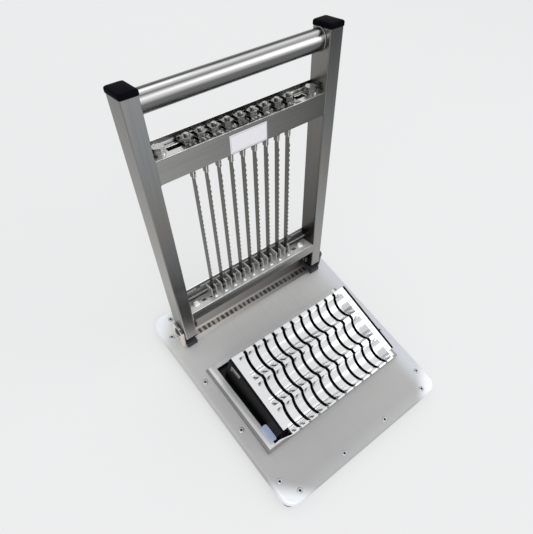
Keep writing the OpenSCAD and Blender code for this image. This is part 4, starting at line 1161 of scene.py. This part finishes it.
class CUTTER_OT_plate(bpy.types.Operator):
    """Model the bare white plate on the upper member"""

    bl_idname = "cutter.plate"
    bl_label = "White plate"

    def execute(self, context):
        settings = context.scene.cutter_plate
        make_piece("blank_plate", [plate_surface(settings)], "blade_frame",
                   bordered("plate_finish", settings), smooth=False)
        return {"FINISHED"}


def plate_surface(settings):
    """The plate on the front of the upper member: rings that are shares of a rounded rectangle.

    They rise from just off the member to the plate's thickness, and close to the middle of its face."""
    front = box_on_frame("upper_channel")[1][1]
    outline = rounded_ring(settings.width, settings.height, settings.corner, count=32)
    thick = settings.thickness
    rings = np.array([(1.0, 0.02 * MM), (1.0, thick * 0.7), (0.994, thick), (0.6, thick), (0.02, thick)])
    share, rise = rings.T[..., None]
    x = outline[:, 0] * share + settings.middle_x
    up = outline[:, 1] * share + settings.middle_up
    return tube_mesh(to_row(np.stack([x, front + rise + 0 * x, up], -1)))


class CUTTER_OT_stage(bpy.types.Operator):
    """Make the floor, the background, the lamps and the camera"""

    bl_idname = "cutter.stage"
    bl_label = "Stage"

    def execute(self, context):
        settings = context.scene.cutter_stage
        context.scene.view_settings.view_transform = "Standard"
        make_world(settings)
        make_floor(settings)
        for name, (place, size, power) in LAMPS.items():
            lamp(name, place, size, power)
        make_camera(settings)
        return {"FINISHED"}


def make_world(settings):
    """The pale background that the camera and reflections see, and the room's light that all else gets."""
    world = bpy.data.worlds.new("pale_room")
    bpy.context.scene.world = world
    world.use_nodes = True
    world.node_tree.nodes.clear()
    room = Nodes(world.node_tree)
    rays = room.node("ShaderNodeLightPath").outputs
    camera, glossy, through = (
        Number(room, rays[f"Is {kind} Ray"]) for kind in ("Camera", "Glossy", "Transmission"))
    light = room.node("ShaderNodeBackground", {},
                      {"Color": opaque(settings.light), "Strength": settings.light_strength})
    background = room.node("ShaderNodeBackground", {}, {"Color": opaque(shade(PLAIN, settings.pale))})
    mix = room.node("ShaderNodeMixShader", {},
                    {0: camera.most(glossy.most(through)), 1: light.outputs[0], 2: background.outputs[0]})
    room.node("ShaderNodeOutputWorld", {}, {"Surface": mix.outputs[0]})


def make_floor(settings):
    """A wide floor that glows as pale as the background and still keeps the object's shadow."""
    mesh = bpy.data.meshes.new("floor")
    far = 6.0
    mesh.from_pydata([(-far, -far, 0), (far, -far, 0), (far, far, 0), (-far, far, 0)], [], [(0, 1, 2, 3)])
    floor = bpy.data.objects.new("floor", mesh)
    bpy.context.scene.collection.objects.link(floor)
    finish = Finish("floor_finish")
    finish.set(Base_Color=opaque(shade(PLAIN, settings.pale * settings.floor_shade)), Roughness=0.9,
               Emission_Color=opaque(shade(PLAIN, settings.pale)), Emission_Strength=settings.floor_glow,
               Specular_IOR_Level=0.0)
    mesh.materials.append(finish.material)


def lamp(name, place, size, power):
    """A square soft lamp that looks at the middle of the object."""
    data = bpy.data.lights.new(name, "AREA")
    data.shape = "SQUARE"
    data.size = size
    data.energy = power
    light = bpy.data.objects.new(name, data)
    bpy.context.scene.collection.objects.link(light)
    light.location = place
    middle = (CAD_BOX[0] + CAD_BOX[1]) / 2
    light.rotation_euler = (middle - Vector(place)).to_track_quat("-Z", "Y").to_euler()


def make_camera(settings):
    """The camera from the fitted stand, turn and focal length."""
    azimuth, elevation, roll = (math.radians(v) for v in settings.turn)
    back = Vector((math.sin(azimuth) * math.cos(elevation), -math.cos(azimuth) * math.cos(elevation),
                   math.sin(elevation)))
    level = (-back).cross(Vector((0, 0, 1))).normalized()
    rise = level.cross(-back)
    right = level * math.cos(roll) + rise * math.sin(roll)
    up = rise * math.cos(roll) - level * math.sin(roll)
    data = bpy.data.cameras.new("camera")
    data.sensor_width = SENSOR
    data.lens = settings.focal_px * SENSOR / PHOTO_H
    data.shift_x = (PHOTO_W / 2 - settings.centre_px[0]) / PHOTO_H
    data.shift_y = (settings.centre_px[1] - PHOTO_H / 2) / PHOTO_H
    data.clip_start = 0.01
    camera = bpy.data.objects.new("camera", data)
    bpy.context.scene.collection.objects.link(camera)
    turn = Matrix((right, up, back)).transposed()
    camera.matrix_world = Matrix.Translation(Vector(settings.stand) + Vector(PIVOT)) @ turn.to_4x4()
    bpy.context.scene.camera = camera


class CUTTER_PT_panel(bpy.types.Panel):
    """Lists the steps of the roll cutter's finishes"""

    bl_idname = "CUTTER_PT_panel"
    bl_label = "Roll cutter"
    bl_space_type = "VIEW_3D"
    bl_region_type = "UI"
    bl_category = "Cutter"

    def draw(self, context):
        for operator in OPERATORS:
            self.layout.operator(operator.bl_idname)


OPERATORS = (CUTTER_OT_steel, CUTTER_OT_fasteners, CUTTER_OT_dark_parts, CUTTER_OT_soften, CUTTER_OT_caps,
             CUTTER_OT_threads, CUTTER_OT_screws, CUTTER_OT_welds, CUTTER_OT_plate, CUTTER_OT_stage)
GROUPS = {"cutter_steel": SteelSettings, "cutter_dark": DarkSettings, "cutter_deck": DeckSettings,
          "cutter_cap": CapSettings, "cutter_thread": ThreadSettings, "cutter_screw": ScrewSettings,
          "cutter_weld": WeldSettings, "cutter_plate": PlateSettings, "cutter_stage": StageSettings}
CLASSES = (*GROUPS.values(), *OPERATORS, CUTTER_PT_panel)


def register():
    for cls in CLASSES:
        bpy.utils.register_class(cls)
    for name, group in GROUPS.items():
        setattr(bpy.types.Scene, name, PointerProperty(type=group))


def unregister():
    for name in GROUPS:
        delattr(bpy.types.Scene, name)
    for cls in reversed(CLASSES):
        bpy.utils.unregister_class(cls)


def main():
    register()
    for operator in OPERATORS:
        group, name = operator.bl_idname.split(".")
        getattr(getattr(bpy.ops, group), name)()


if __name__ == "__main__":
    main()
